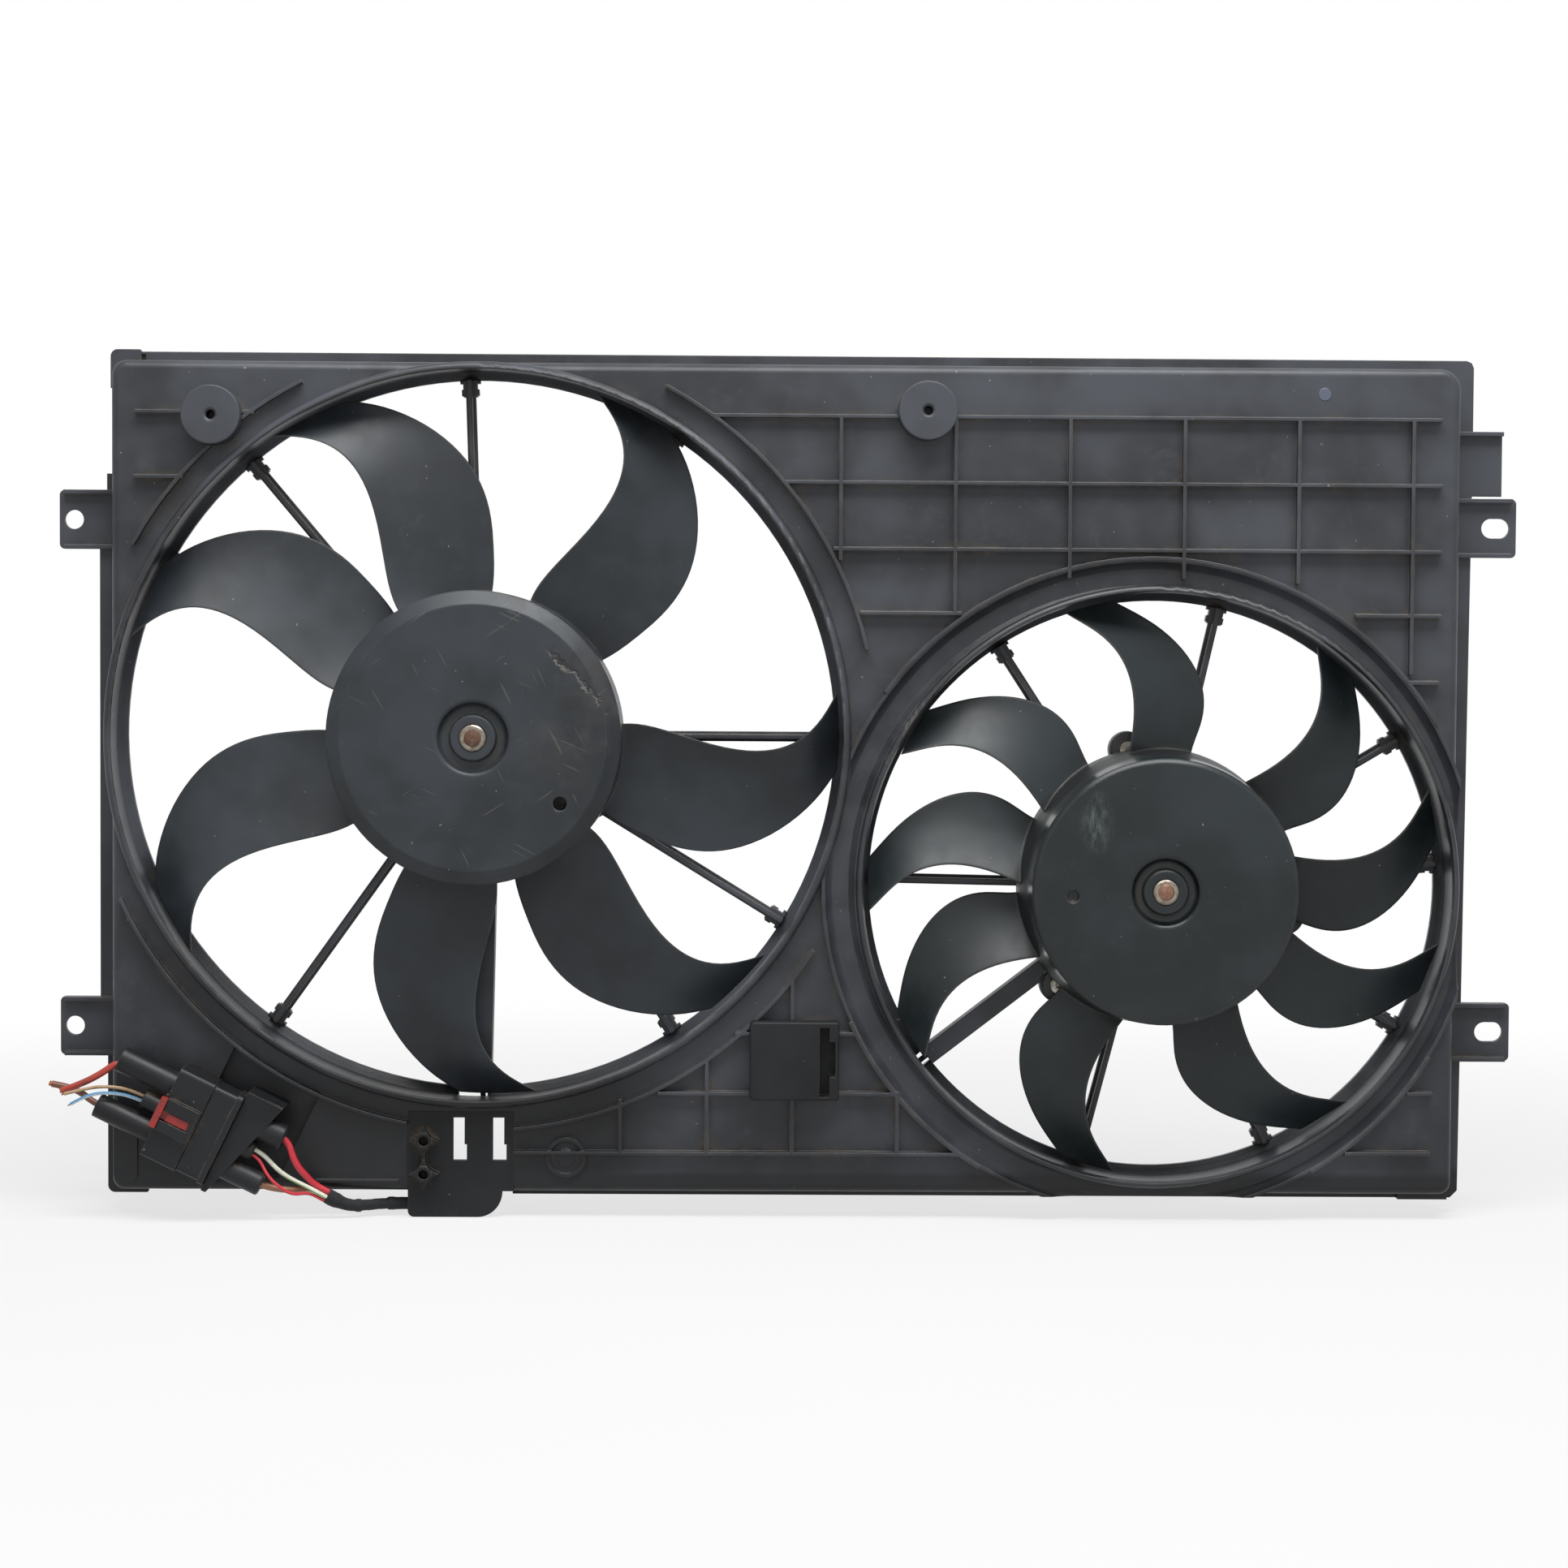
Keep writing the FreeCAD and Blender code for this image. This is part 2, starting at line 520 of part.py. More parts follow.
def shroud_panel():
    radii = (CORNER_TL, CORNER_TR, CORNER_BR, CORNER_BL)
    block = rounded_block(LEFT, RIGHT, BOTTOM, TOP, radii, 0.0, PLATE_FRONT)
    rim = []
    for edge in block.Edges:
        if all(abs(v.Point.y - (DEPTH / 2 - PLATE_FRONT)) < 1e-3 for v in edge.Vertexes):
            rim.append(edge)
    block = block.makeFillet(EDGE_ROUND, rim)
    inner_radii = [r - WALL + 1.0 for r in radii]
    hollow = rounded_block(LEFT + WALL, RIGHT - WALL, BOTTOM + WALL, TOP - WALL, inner_radii,
                           -1.0, PLATE_REAR)
    tray = block.cut(hollow)
    tray = connector_bay(tray)
    additions = flange() + panel_ribs()
    for side in (-1, 1):
        for z in (EAR_UPPER_Z, EAR_UPPER_Z - EAR_PITCH):
            additions += ear(side, z)
    additions.append(corner_tab())
    x, z, r, front = LOW_PAD
    additions.append(rod(x, z, r, PLATE_REAR - 1, front))
    additions.append(bell_mouth())
    additions.append(arc_rib(BIG_ARC, 116.9, 151.4))
    additions.append(arc_rib(BIG_ARC, 13.0, 62.4))
    additions.append(arc_rib(BIG_ARC, 204.5, 263.5))
    additions.append(arc_rib(BIG_ARC, 274.5, 327.5))
    additions.append(arc_rib(SMALL_ARC, 30.0, 144.0))
    additions.append(arc_rib(SMALL_ARC, 204.5, 239.0))
    additions.append(arc_rib(SMALL_ARC, -60.0, -31.0))
    whole = fused([tray] + additions)
    limits = box(-400, 400, -400, 400, -1, 60)
    outside = box(LEFT - 1, RIGHT + 1, BOTTOM - 1, TOP + 1, FLANGE_T + 5.5, 60)
    frame = limits.cut(box(-400, 400, -400, 400, FLANGE_T + 5.5, 60)).fuse(outside)
    whole = whole.common(frame)
    cuts = [
        rod(BIG["x"], BIG["z"], BIG["collar_r"], -1, 40),
        rod(SMALL["x"], SMALL["z"], SMALL["collar_r"], -1, 40),
        box(TAB_LEFT, TAB_RIGHT, BOTTOM - 1, TAB_TOP, PLATE_REAR, 40),
        box(-170.0, -138.0, BOTTOM - 2, BOTTOM + 12, -1, PLATE_REAR),
        box(HOLDER[0], HOLDER[1], HOLDER[2], HOLDER[3], PLATE_FRONT, 50),
        box(NOTCH_X[0], NOTCH_X[1], TOP + 0.5, FLANGE_TOP - 1.4, NOTCH_FLOOR, FLANGE_T + 1),
    ]
    for x, z, r, front in PADS:
        room = front + 1 - PLATE_FRONT
        cuts.append(Part.makeCone(r, r + PAD_DRAFT, room, at(x, z, PLATE_FRONT), Vector(0, -1, 0)))
    for side in (-1, 1):
        for z in (EAR_UPPER_Z, EAR_UPPER_Z - EAR_PITCH):
            cuts.append(ear_hole(side, z))
    x, z, r, front = LOW_PAD
    step = rod(x, z, r - 2.2, front - 1.0, front + 1).cut(rod(x, z, 4.3, front - 2, front + 2))
    cuts.append(step)
    return whole.cut(Part.Compound(cuts)).removeSplitter()


def corner_tab():
    """Low pad with rounded lower corners near the bottom left corner of the plate."""
    return rounded_block(LEFT + 1.0, -311.0, -192.0, -158.0, (0.6, 0.6, 4.0, 4.0), PLATE_REAR,
                         PLATE_FRONT + 1.0)


def pad(x, z, r, front):
    """Round pad on the plate, with a blind hole for a screw."""
    disc = rod(x, z, r, PLATE_FRONT, front)
    rim = [e for e in disc.Edges if abs(e.BoundBox.YMax - (DEPTH / 2 - front)) < 1e-3 and e.Length > 2 * r]
    disc = disc.makeFillet(0.6, rim)
    dish = Part.makeCone(PAD_HOLE_R, PAD_HOLE_R + 1.2, 1.0, at(x, z, front - 0.9), Vector(0, -1, 0))
    return disc.cut(rod(x, z, PAD_HOLE_R, front - PAD_HOLE_DEPTH, front + 1)).cut(dish)


def cable_tab():
    """Lower tab with two slots for a cable tie and two small screw bosses."""
    plate = box(TAB_LEFT, TAB_RIGHT, BOTTOM, TAB_TOP, PLATE_REAR, PLATE_FRONT)
    right = -136.5
    hang = box(TAB_LEFT, right, TAB_BOTTOM, BOTTOM, PLATE_REAR, PLATE_FRONT)
    for side, r in ((right, TAB_CORNER_R), (TAB_LEFT, TAB_LEFT_R)):
        corner = []
        for edge in hang.Edges:
            ends = [v.Point for v in edge.Vertexes]
            low = abs(ends[0].z - TAB_BOTTOM) < 1e-3 and abs(ends[-1].z - TAB_BOTTOM) < 1e-3
            if low and abs(ends[0].x - side) < 1e-3 and abs(ends[-1].x - side) < 1e-3:
                corner.append(edge)
        hang = hang.makeFillet(r, corner)
    pieces = [plate, hang]
    for z in BOSS_Z:
        pieces.append(rod(BOSS_X, z, BOSS_R, PLATE_REAR, BOSS_FRONT))
        star = []
        for k in range(8):
            r, a = (STAR_WAIST, STAR_TIP)[k % 2 == 0], math.radians(45 * k)
            star.append((BOSS_X + r * math.cos(a), z + r * math.sin(a)))
        pieces.append(prism(star, PLATE_REAR, BOSS_FRONT - 1))
    pieces.append(box(BOSS_X - 0.9, BOSS_X + 0.9, BOSS_Z[1], BOSS_Z[0], PLATE_REAR, BOSS_FRONT - 2))
    whole = fused(pieces)
    cuts = [rod(BOSS_X, z, BOSS_HOLE_R, PLATE_FRONT - 1.5, BOSS_FRONT + 1) for z in BOSS_Z]
    for x0, x1 in TAB_SLOTS:
        cuts.append(box(x0, x1, TAB_SLOT_STEP - 1.0, TAB_SLOT_Z[1], PLATE_REAR - 1, PLATE_FRONT + 1))
        cuts.append(box(x0, x1 + TAB_SLOT_WIDER, TAB_SLOT_Z[0], TAB_SLOT_STEP, PLATE_REAR - 1,
                        PLATE_FRONT + 1))
    return whole.cut(Part.Compound(cuts)).removeSplitter()


def module_holder():
    """Open-sided box that a control module slides into."""
    x0, x1, z0, z1 = HOLDER
    shell = rounded_block(x0, x1, z0, z1, (HOLDER_CORNER_R, 1.2, 1.2, HOLDER_CORNER_R), PLATE_FRONT,
                          HOLDER_FRONT)
    front_edges = []
    for edge in shell.Edges:
        if all(abs(v.Point.y - (DEPTH / 2 - HOLDER_FRONT)) < 1e-3 for v in edge.Vertexes):
            front_edges.append(edge)
    shell = shell.makeFillet(1.0, front_edges)
    cavity = box(x0 + 2, HOLDER_SLOT[1], HOLDER_SLOT[2], HOLDER_SLOT[3], PLATE_FRONT + 1.5, HOLDER_FRONT - 2)
    mouth = box(HOLDER_SLOT[0], HOLDER_SLOT[1], HOLDER_SLOT[2], HOLDER_SLOT[3],
                PLATE_FRONT + 1.5, HOLDER_FRONT + 1)
    notch = box(HOLDER_SLOT[1] - 0.5, HOLDER_STEP[0], HOLDER_STEP[1], HOLDER_STEP[2],
                PLATE_FRONT + 1.5, HOLDER_FRONT + 1)
    return shell.cut(cavity).cut(mouth).cut(notch).removeSplitter()


def connector_bracket():
    """Wedge-shaped stand that holds the socket off the panel's bay."""
    floor = 20.0
    s0 = SOCKET_L + CLEAR
    wall = prism(((s0, -26.0), (s0 + 2.5, -26.0), (s0 + 4.5, 26.0), (s0, 26.0)), floor, 46.0)
    top = prism(((s0, 23.5), (s0 + 4.5, 23.5), (33.0, 25.5), (33.0, 26.0), (s0, 26.0)), floor, 44.0)
    skin = prism(((s0 + 1, -25.8), (s0 + 2.5, -25.8), (33.0, 25.6), (s0 + 4.0, 26.0)), 43.0, 46.0)
    stand = fused([wall, top, skin])
    openings = []
    for t in (-TUBE_T, TUBE_T):
        openings.append(tube(t, PLUG_TUBE_R + 0.3, 10.0, 45.0))
    openings.append(tube(0.0, MID_TUBE_R + 0.3, 10.0, 45.0))
    below_bay = box(s0 - 1.0, BAY_S1, -30.0, BAY_T0 + CLEAR, floor - 1.0, PLATE_FRONT + CLEAR)
    stand = turned(stand.cut(Part.Compound(openings)).cut(below_bay))
    return stand.cut(box(LEFT, 0.0, BOTTOM - 5, BOTTOM + 6.2, 0.0, PLATE_FRONT + CLEAR))


def tube(t, r, s0, s1):
    """Round bar along the connector's own axis."""
    return Part.makeCylinder(r, s1 - s0, Vector(s0, DEPTH / 2 - CONN_MID, t), Vector(1, 0, 0))


def round_ended(bar, s, r):
    """Round the edge of a tube's end face at place s."""
    rim = [e for e in bar.Edges if abs(e.BoundBox.XMin - s) < 1e-3 and abs(e.BoundBox.XMax - s) < 1e-3]
    return bar.makeFillet(r, rim)


def body_block(s0, s1, half_h, half_d, round_r):
    block = box(s0, s1, -half_h, half_h, CONN_MID - half_d, CONN_MID + half_d)
    edges = []
    for edge in block.Edges:
        ends = [v.Point for v in edge.Vertexes]
        if abs(ends[0].x - ends[1].x) > (s1 - s0) * 0.9:
            edges.append(edge)
    return block.makeFillet(round_r, edges)


def plug_housing():
    """Cable half: a hood over the socket, three wire outlets and the latch frame."""
    hood = body_block(-PLUG_L, 0.0, CONN_HALF_H, CONN_HALF_D, 2.5)
    mouth = body_block(-12.0, 1.0, CONN_HALF_H - 2.2, CONN_HALF_D - 2.2, 1.5)
    pieces = [hood.cut(mouth)]
    tubes = ((TUBE_T, PLUG_TUBE_R, -47.0), (-TUBE_T, PLUG_TUBE_R - 0.5, -47.5), (0.0, MID_TUBE_R, -29.0))
    for t, r, s in tubes:
        pieces.append(round_ended(tube(t, r, s, -PLUG_L + 1), s, OUTLET_ROUND / 2))
    frame = box(-16.5, -0.5, -8.0, 8.0, CONN_MID + CONN_HALF_D - 1, LATCH_FRONT)
    window = box(-17.0, -2.5, -2.9, 1.9, CONN_MID + CONN_HALF_D + 0.3, LATCH_FRONT + 1)
    step = box(-19.0, -16.0, -9.0, 9.0, CONN_MID + 6.0, CONN_MID + CONN_HALF_D)
    pieces += [frame.cut(window), step]
    whole = fused(pieces)
    bores = []
    for t in (TUBE_T, -TUBE_T):
        bores.append(tube(t, TUBE_BORE, -48.0, TERMINAL_REAR))
        bores.append(Part.makeCone(TUBE_BORE + 1.2, TUBE_BORE, 6.0, Vector(-48.0, DEPTH / 2 - CONN_MID, t),
                                   Vector(1, 0, 0)))
    bores.append(tube(0.0, MID_BORE, -30.0, TERMINAL_REAR))
    for t, half in TERMINALS:
        bores.append(box(TERMINAL_REAR, -11.5, t - half - 0.95, t + half + 0.95, CONN_MID - 1.55,
                         CONN_MID + 1.55))
    return turned(whole.cut(Part.Compound(bores)))


def plug_lock():
    """Red slide that secures the latch: a cross strip and a tongue in the latch frame."""
    low = CONN_MID + CONN_HALF_D + CLEAR
    strip = box(-20.0, -17.0 + CLEAR * 0.5, -7.6, 7.6, low, LATCH_FRONT + 0.8)
    tongue = box(-18.0, -2.9, -2.5, 1.5, low + 0.4, LATCH_FRONT - 1.0)
    tongue = tongue.cut(box(-17.5, -14.0, -9.0, 9.0, LATCH_FRONT - 2.2, LATCH_FRONT + 1))
    return turned(fused([strip, tongue]))


def socket_housing():
    """Fixed half: a nose inside the plug's hood, a collar and three wire outlets."""
    nose = body_block(-11.5, 1.0, CONN_HALF_H - 2.6, CONN_HALF_D - 2.6, 1.2)
    flat = body_block(0.0 + CLEAR, SOCKET_L, CONN_HALF_H - 0.6, CONN_HALF_D - 0.7, 2.4)
    rim = body_block(SOCKET_L - 2.8, SOCKET_L, CONN_HALF_H + 0.3, CONN_HALF_D + 0.2, 2.6)
    pieces = [nose, flat, rim]
    for t, r, s in ((TUBE_T, PLUG_TUBE_R, 39.5), (-TUBE_T, PLUG_TUBE_R - 0.6, 39.4), (0.0, MID_TUBE_R, 29.3)):
        pieces.append(round_ended(tube(t, r, SOCKET_L - 1, s), s, OUTLET_ROUND))
    whole = fused(pieces)
    bores = []
    for t in (TUBE_T, -TUBE_T):
        bores.append(tube(t, TUBE_BORE, 4.0, 40.5))
    bores.append(tube(0.0, MID_BORE, 4.0, 30.0))
    slots = []
    for t, half in TERMINALS:
        slots.append(box(-12.0, 4.0, t - half - 0.9, t + half + 0.9, CONN_MID - 1.2, CONN_MID + 1.2))
    return turned(whole.cut(Part.Compound(bores + slots)))


def pins():
    """Blades of the fixed half, one for each circuit, with a crimp at the wire end."""
    blades = []
    for t, half in TERMINALS:
        flat = box(-14.5, 6.0, t - half, t + half, CONN_MID - 0.4, CONN_MID + 0.4)
        crimp = tube(t, min(half, 1.6), 5.5, 12.0)
        blades.append(turned(fused([flat, crimp])))
    return blades


def receptacles():
    """Sprung sockets of the cable half, which take the blades."""
    shells = []
    for t, half in TERMINALS:
        shell = box(TERMINAL_REAR + 0.3, -12.1, t - half - 0.9, t + half + 0.9, CONN_MID - 1.5,
                    CONN_MID + 1.5)
        mouth = box(-15.2, -12.0, t - half - 0.35, t + half + 0.35, CONN_MID - 0.75, CONN_MID + 0.75)
        shells.append(turned(shell.cut(mouth)))
    return shells


def wire_seals(ends, length):
    """Rubber plug in each outlet, from its outer face inwards."""
    seals = []
    for t, bore, face in ends:
        inner = face + length if face < 0 else face - length
        seals.append(turned(tube(t, bore - 0.05, min(face, inner), max(face, inner))))
    return seals


def cord_path(points):
    """Straight runs joined by tangent arcs, each as large as its two runs allow."""
    edges, radii = [], []
    last = points[0]
    for i in range(1, len(points) - 1):
        into, away = points[i] - points[i - 1], points[i + 1] - points[i]
        turn = into.getAngle(away)
        shorter = min(into.Length, away.Length)
        cut = 0.45 * shorter
        radii.append(cut / math.tan(turn / 2))
        start = points[i] - into * (cut / into.Length)
        end = points[i] + away * (cut / away.Length)
        bisector = (away * (1.0 / away.Length) - into * (1.0 / into.Length)).normalize()
        middle = points[i] + bisector * (radii[-1] * (1.0 / math.cos(turn / 2) - 1.0))
        edges.append(Part.LineSegment(last, start).toShape())
        edges.append(Part.Arc(start, middle, end).toShape())
        last = end
    edges.append(Part.LineSegment(last, points[-1]).toShape())
    return Part.Wire(edges), radii


def cord(name, points, diameter):
    route = [at(*p) for p in points]
    path, radii = cord_path(route)
    first = route[1] - route[0]
    ring = Part.Wire(Part.Circle(route[0], first, diameter / 2).toShape())
    solid = path.makePipeShell([ring], True, False)
    section = math.pi * diameter ** 2 / 4
    print(name, "length", round(path.Length, 1), "tightest radius", round(min(radii), 1),
          "volume ratio", round(solid.Volume / (section * path.Length), 3))
    return solid


def local(s, t, front):
    x, z = connector_point(s, t)
    return x, z, front


def motor(prefix, fan):
    """Brushed motor: drawn case, cover with screw lugs, magnets, brush gear and bearings."""
    case_r, shaft_r = fan["case_r"], fan["shaft_r"]
    rear, front, wall = 11.0, 49.0, 2.0
    seat_r = 9.0
    case = revolved((
        (case_r, rear), (case_r, front - 5), (case_r - 5, front, case_r - 1.46, front - 1.46),
        (seat_r + wall, front), (seat_r + wall, front + 2), (shaft_r + 1.2, front + 2),
        (shaft_r + 1.2, front + 0.5), (seat_r, front + 0.5), (seat_r, front - 6),
        (seat_r + wall, front - 6), (seat_r + wall, front - wall), (case_r - 6, front - wall),
        (case_r - wall, front - 6), (case_r - wall, rear),
    ), fan)
    cover = revolved((
        (shaft_r + 1.2, 3.0), (seat_r + wall, 3.0), (seat_r + wall, MOUNT_T), (case_r + 0.8, MOUNT_T),
        (case_r + 0.8, rear), (case_r - wall - 0.2, rear), (case_r - wall - 0.2, rear + 1.5),
        (seat_r + wall, rear + 1.5), (seat_r + wall, rear + 3), (seat_r, rear + 3), (seat_r, 5.0),
        (shaft_r + 1.2, 5.0),
    ), fan)
    lugs, holes, screws = [], [], []
    for angle in fan["lug_angles"]:
        x, z = polar(fan, fan["lug_r"], angle)
        lug = rod(x, z, LUG_R, MOUNT_T, rear)
        web = spoke(fan, angle, case_r - 6, fan["lug_r"], 2 * LUG_R, MOUNT_T, rear)
        lugs += [lug, web]
        holes.append(rod(x, z, 2.3, 7.0, rear + 3))
        shank = rod(x, z, 2.0, 0.6, rear + 0.05)
        head = rod(x, z, 4.2, rear + 0.05, rear + 2.6)
        drive = prism([(x + 1.9 * math.cos(math.radians(60 * k)), z + 1.9 * math.sin(math.radians(60 * k)))
                       for k in range(6)], rear + 1.2, rear + 4)
        screws.append(fused([shank, head]).cut(drive))
    gland = spoke(fan, fan["outlet"], case_r - 8, case_r - 2, fan["outlet_w"], 2.5, 8.4)
    cover = fused([cover, gland] + lugs).cut(Part.Compound(holes))
    screw_room = Part.Compound([rod(*polar(fan, fan["lug_r"], a), 4.6, rear, rear + 4)
                                for a in fan["lug_angles"]])
    case = case.cut(screw_room)
    save(prefix + "_motor_case", case)
    save(prefix + "_motor_cover", cover)
    save(prefix + "_motor_screws", *screws)
    magnet_in, magnet_out = case_r - 10.0, case_r - wall - 0.05
    ring = revolved(((magnet_in, 17.0), (magnet_out, 17.0), (magnet_out, 42.5), (magnet_in, 42.5)), fan)
    magnets = []
    for k in range(4):
        sector = [(fan["x"], fan["z"])]
        for step in (-36, 0, 36):
            sector.append(polar(fan, case_r * 1.4, 45 + 90 * k + step))
        magnets.append(ring.common(prism(sector, 10, 50)))
    save(prefix + "_motor_magnets", *magnets)
    bearings = []
    for low, high in ((5.0, rear + 2.5), (front - 5.5, front + 0.5)):
        bearings.append(revolved((
            (shaft_r + RUNNING, low), (seat_r, low), (seat_r, high), (shaft_r + RUNNING, high)), fan))
    save(prefix + "_motor_bearings", *bearings)
    holder_r = magnet_in - 2.0
    holder = revolved(((17.0, 12.7), (holder_r, 12.7), (holder_r, 14.6), (17.0, 14.6)), fan)
    boxes, brushes = [], []
    for k in range(2):
        angle = 45 + 180 * k
        boxes.append(spoke(fan, angle, 18.0, 30.0, 9.0, 13.0, 22.0))
        boxes[-1] = boxes[-1].cut(spoke(fan, angle, 17.0, 29.0, 6.4, 15.6, 20.4))
        brushes.append(spoke(fan, angle, 14.4, 26.0, 6.0, 15.8, 20.2))
    save(prefix + "_brush_holder", fused([holder] + boxes))
    save(prefix + "_brushes", *brushes)
    arm_r = magnet_in - 1.2
    core = revolved(((shaft_r, 24.0), (arm_r, 24.0), (arm_r, 38.0), (shaft_r, 38.0)), fan)
    slots = [spoke(fan, 30.0 * k, arm_r - 7, arm_r + 1, 3.0, 23.0, 39.0) for k in range(12)]
    coil = revolved((
        (shaft_r + 5, 38.0), (arm_r - 4, 38.0), (arm_r - 8, 42.0, arm_r - 5.2, 41.0),
        (shaft_r + 5, 42.0)), fan)
    save(prefix + "_armature", fused([core.cut(Part.Compound(slots)), coil]))
    comm = revolved(((shaft_r, 14.9), (14.0, 14.9), (14.0, 23.9), (shaft_r, 23.9)), fan)
    gaps = [spoke(fan, 30.0 * k + 15, 12.0, 15.0, 0.8, 14.0, 22.5) for k in range(12)]
    save(prefix + "_commutator", comm.cut(Part.Compound(gaps)))
    save(prefix + "_shaft", revolved((
        (0.0, 6.0), (shaft_r - 0.4, 6.0), (shaft_r, 6.4), (shaft_r, fan["tip_front"] - 1.0),
        (shaft_r - 0.5, fan["tip_front"] - 0.5),
        (0.8, fan["tip_front"], shaft_r * 0.55, fan["tip_front"] - 0.12), (0.0, fan["tip_front"])), fan))
    save(prefix + "_shaft_clip", revolved((
        (shaft_r, 60.55), (fan["clip_r"], 60.55), (fan["clip_r"], 62.0), (fan["clip_r"] - 0.7, 62.6),
        (shaft_r, 62.6)), fan))


# Shroud
save("shroud_panel", shroud_panel())
neck = rod(BIG["x"], BIG["z"], BIG["collar_r"], -1, 40)
lead_gap_big = spoke(BIG, BIG_CHANNEL[0], BIG["ledge_r"] - 2, BIG["collar_r"] + 2, 14.0, -1.0, 8.0)
lead_gap_small = spoke(SMALL, SMALL_CHANNEL[0], SMALL["ledge_r"] - 2, SMALL["collar_r"] + 2, 6.0, -1.0, 8.0)
save("big_fan_ring", collar(BIG, 7.0).cut(lead_gap_big))
save("small_fan_ring", collar(SMALL, 5.0).cut(neck).cut(lead_gap_small))
save("big_motor_mount", motor_mount(BIG, BIG_STRUTS, BIG_CHANNEL))
save("small_motor_mount", motor_mount(SMALL, SMALL_STRUTS, SMALL_CHANNEL))
save("left_pad", pad(*PADS[0]))
save("right_pad", pad(*PADS[1]))
save("module_holder", module_holder())
save("cable_tab", cable_tab())
save("connector_bracket", connector_bracket())

# Fans and motors
save("big_fan", make_fan(BIG, BIG_BLADE, BIG_MARKS, 3.3, 51.0, -36.7, True))
save("small_fan", make_fan(SMALL, SMALL_BLADE, SMALL_MARKS, 2.9, 43.7, 182.6, False))
motor("big", BIG)
motor("small", SMALL)

# Connector
save("plug_housing", plug_housing())
save("plug_lock", plug_lock())
save("socket_housing", socket_housing())
save("socket_terminals", *pins())
save("plug_terminals", *receptacles())
PLUG_SEALS = ((TUBE_T, TUBE_BORE, -38.0), (-TUBE_T, TUBE_BORE, -40.0), (0.0, MID_BORE, -25.0))
SOCKET_SEALS = ((TUBE_T, TUBE_BORE, 31.0), (-TUBE_T, TUBE_BORE, 33.0), (0.0, MID_BORE, 24.0))
save("plug_seals", *wire_seals(PLUG_SEALS, 6.0))
save("socket_seals", *wire_seals(SOCKET_SEALS, 6.0))

# Cut wires of the cable half: each leaves its outlet and ends bare. Points are x, z, front.
RED_WIRE = (local(-38.25, TUBE_T, 39.0), (-317.3, -131.6, 39.4), (-326.0, -138.0, 40.6),
            (-335.5, -142.8, 41.2), (-344.2, -145.9, 41.0))
BROWN_WIRE = (local(-40.15, -TUBE_T, 39.0), (-329.6, -152.0, 38.6), (-336.0, -147.2, 37.0),
              (-342.8, -144.6, 36.2), (-350.0, -143.3, 36.0))
BEIGE_WIRE = (local(-25.0, 1.3, 39.0), (-309.6, -146.5, 39.8), (-318.0, -143.9, 42.0),
              (-327.3, -143.5, 44.6), (-335.8, -145.2, 46.0), (-342.2, -146.8, 46.4))
BLUE_WIRE = (local(-25.0, -1.3, 39.0), (-310.8, -148.9, 40.2), (-318.6, -146.7, 43.4),
             (-326.4, -146.3, 46.2), (-333.2, -148.2, 48.0), (-338.8, -151.4, 48.8))
save("plug_wire_red", cord("plug_wire_red", RED_WIRE, RED_D))
save("plug_wire_brown", cord("plug_wire_brown", BROWN_WIRE, BROWN_D))
save("plug_wire_beige", cord("plug_wire_beige", BEIGE_WIRE, THIN_D))
save("plug_wire_blue", cord("plug_wire_blue", BLUE_WIRE, THIN_D))

# Wires from the fixed half into the taped sleeve
SLEEVE_START = at(-220.0, -197.0, 31.5)
SLEEVE_RUN = Vector(0.85, 0.17, -0.5).normalize()
ACROSS = Vector(0.5, 0.0, 0.86).normalize()
ACROSS = (ACROSS - SLEEVE_RUN * ACROSS.dot(SLEEVE_RUN)).normalize()
FORWARD = SLEEVE_RUN.cross(ACROSS)


def into_sleeve(across, forward):
    """Last two points of a wire: along the sleeve's start and onto its face."""
    end = SLEEVE_START + ACROSS * across + FORWARD * forward
    points = []
    for back in (8.0, 0.0):
        spot = end - SLEEVE_RUN * back
        points.append((spot.x, spot.z, DEPTH / 2 - spot.y))
    return tuple(points)


RED_LEAD = (local(31.0, TUBE_T, 39.0), local(41.0, TUBE_T, 39.0),
            (-234.0, -181.0, 39.0)) + into_sleeve(1.9, 0.5)
TAN_LEAD = (local(33.0, -TUBE_T, 39.0), local(41.0, -TUBE_T, 39.0),
            (-238.6, -193.7, 36.6)) + into_sleeve(-0.6, -1.9)
WHITE_LEAD = (local(24.0, 1.4, 39.0), local(33.0, 1.4, 39.2),
              (-240.6, -185.6, 38.6)) + into_sleeve(-0.3, 2.3)
THIN_RED_LEAD = (local(24.0, -1.4, 39.0), local(32.5, -1.4, 39.4), (-246.0, -187.4, 42.4),
                 (-236.4, -195.2, 40.8)) + into_sleeve(-2.4, 1.8)
save("socket_wire_red", cord("socket_wire_red", RED_LEAD, RED_D))
save("socket_wire_tan", cord("socket_wire_tan", TAN_LEAD, TAN_D))
save("socket_wire_white", cord("socket_wire_white", WHITE_LEAD, WHITE_D))
save("socket_wire_thin_red", cord("socket_wire_thin_red", THIN_RED_LEAD, THIN_RED_D))

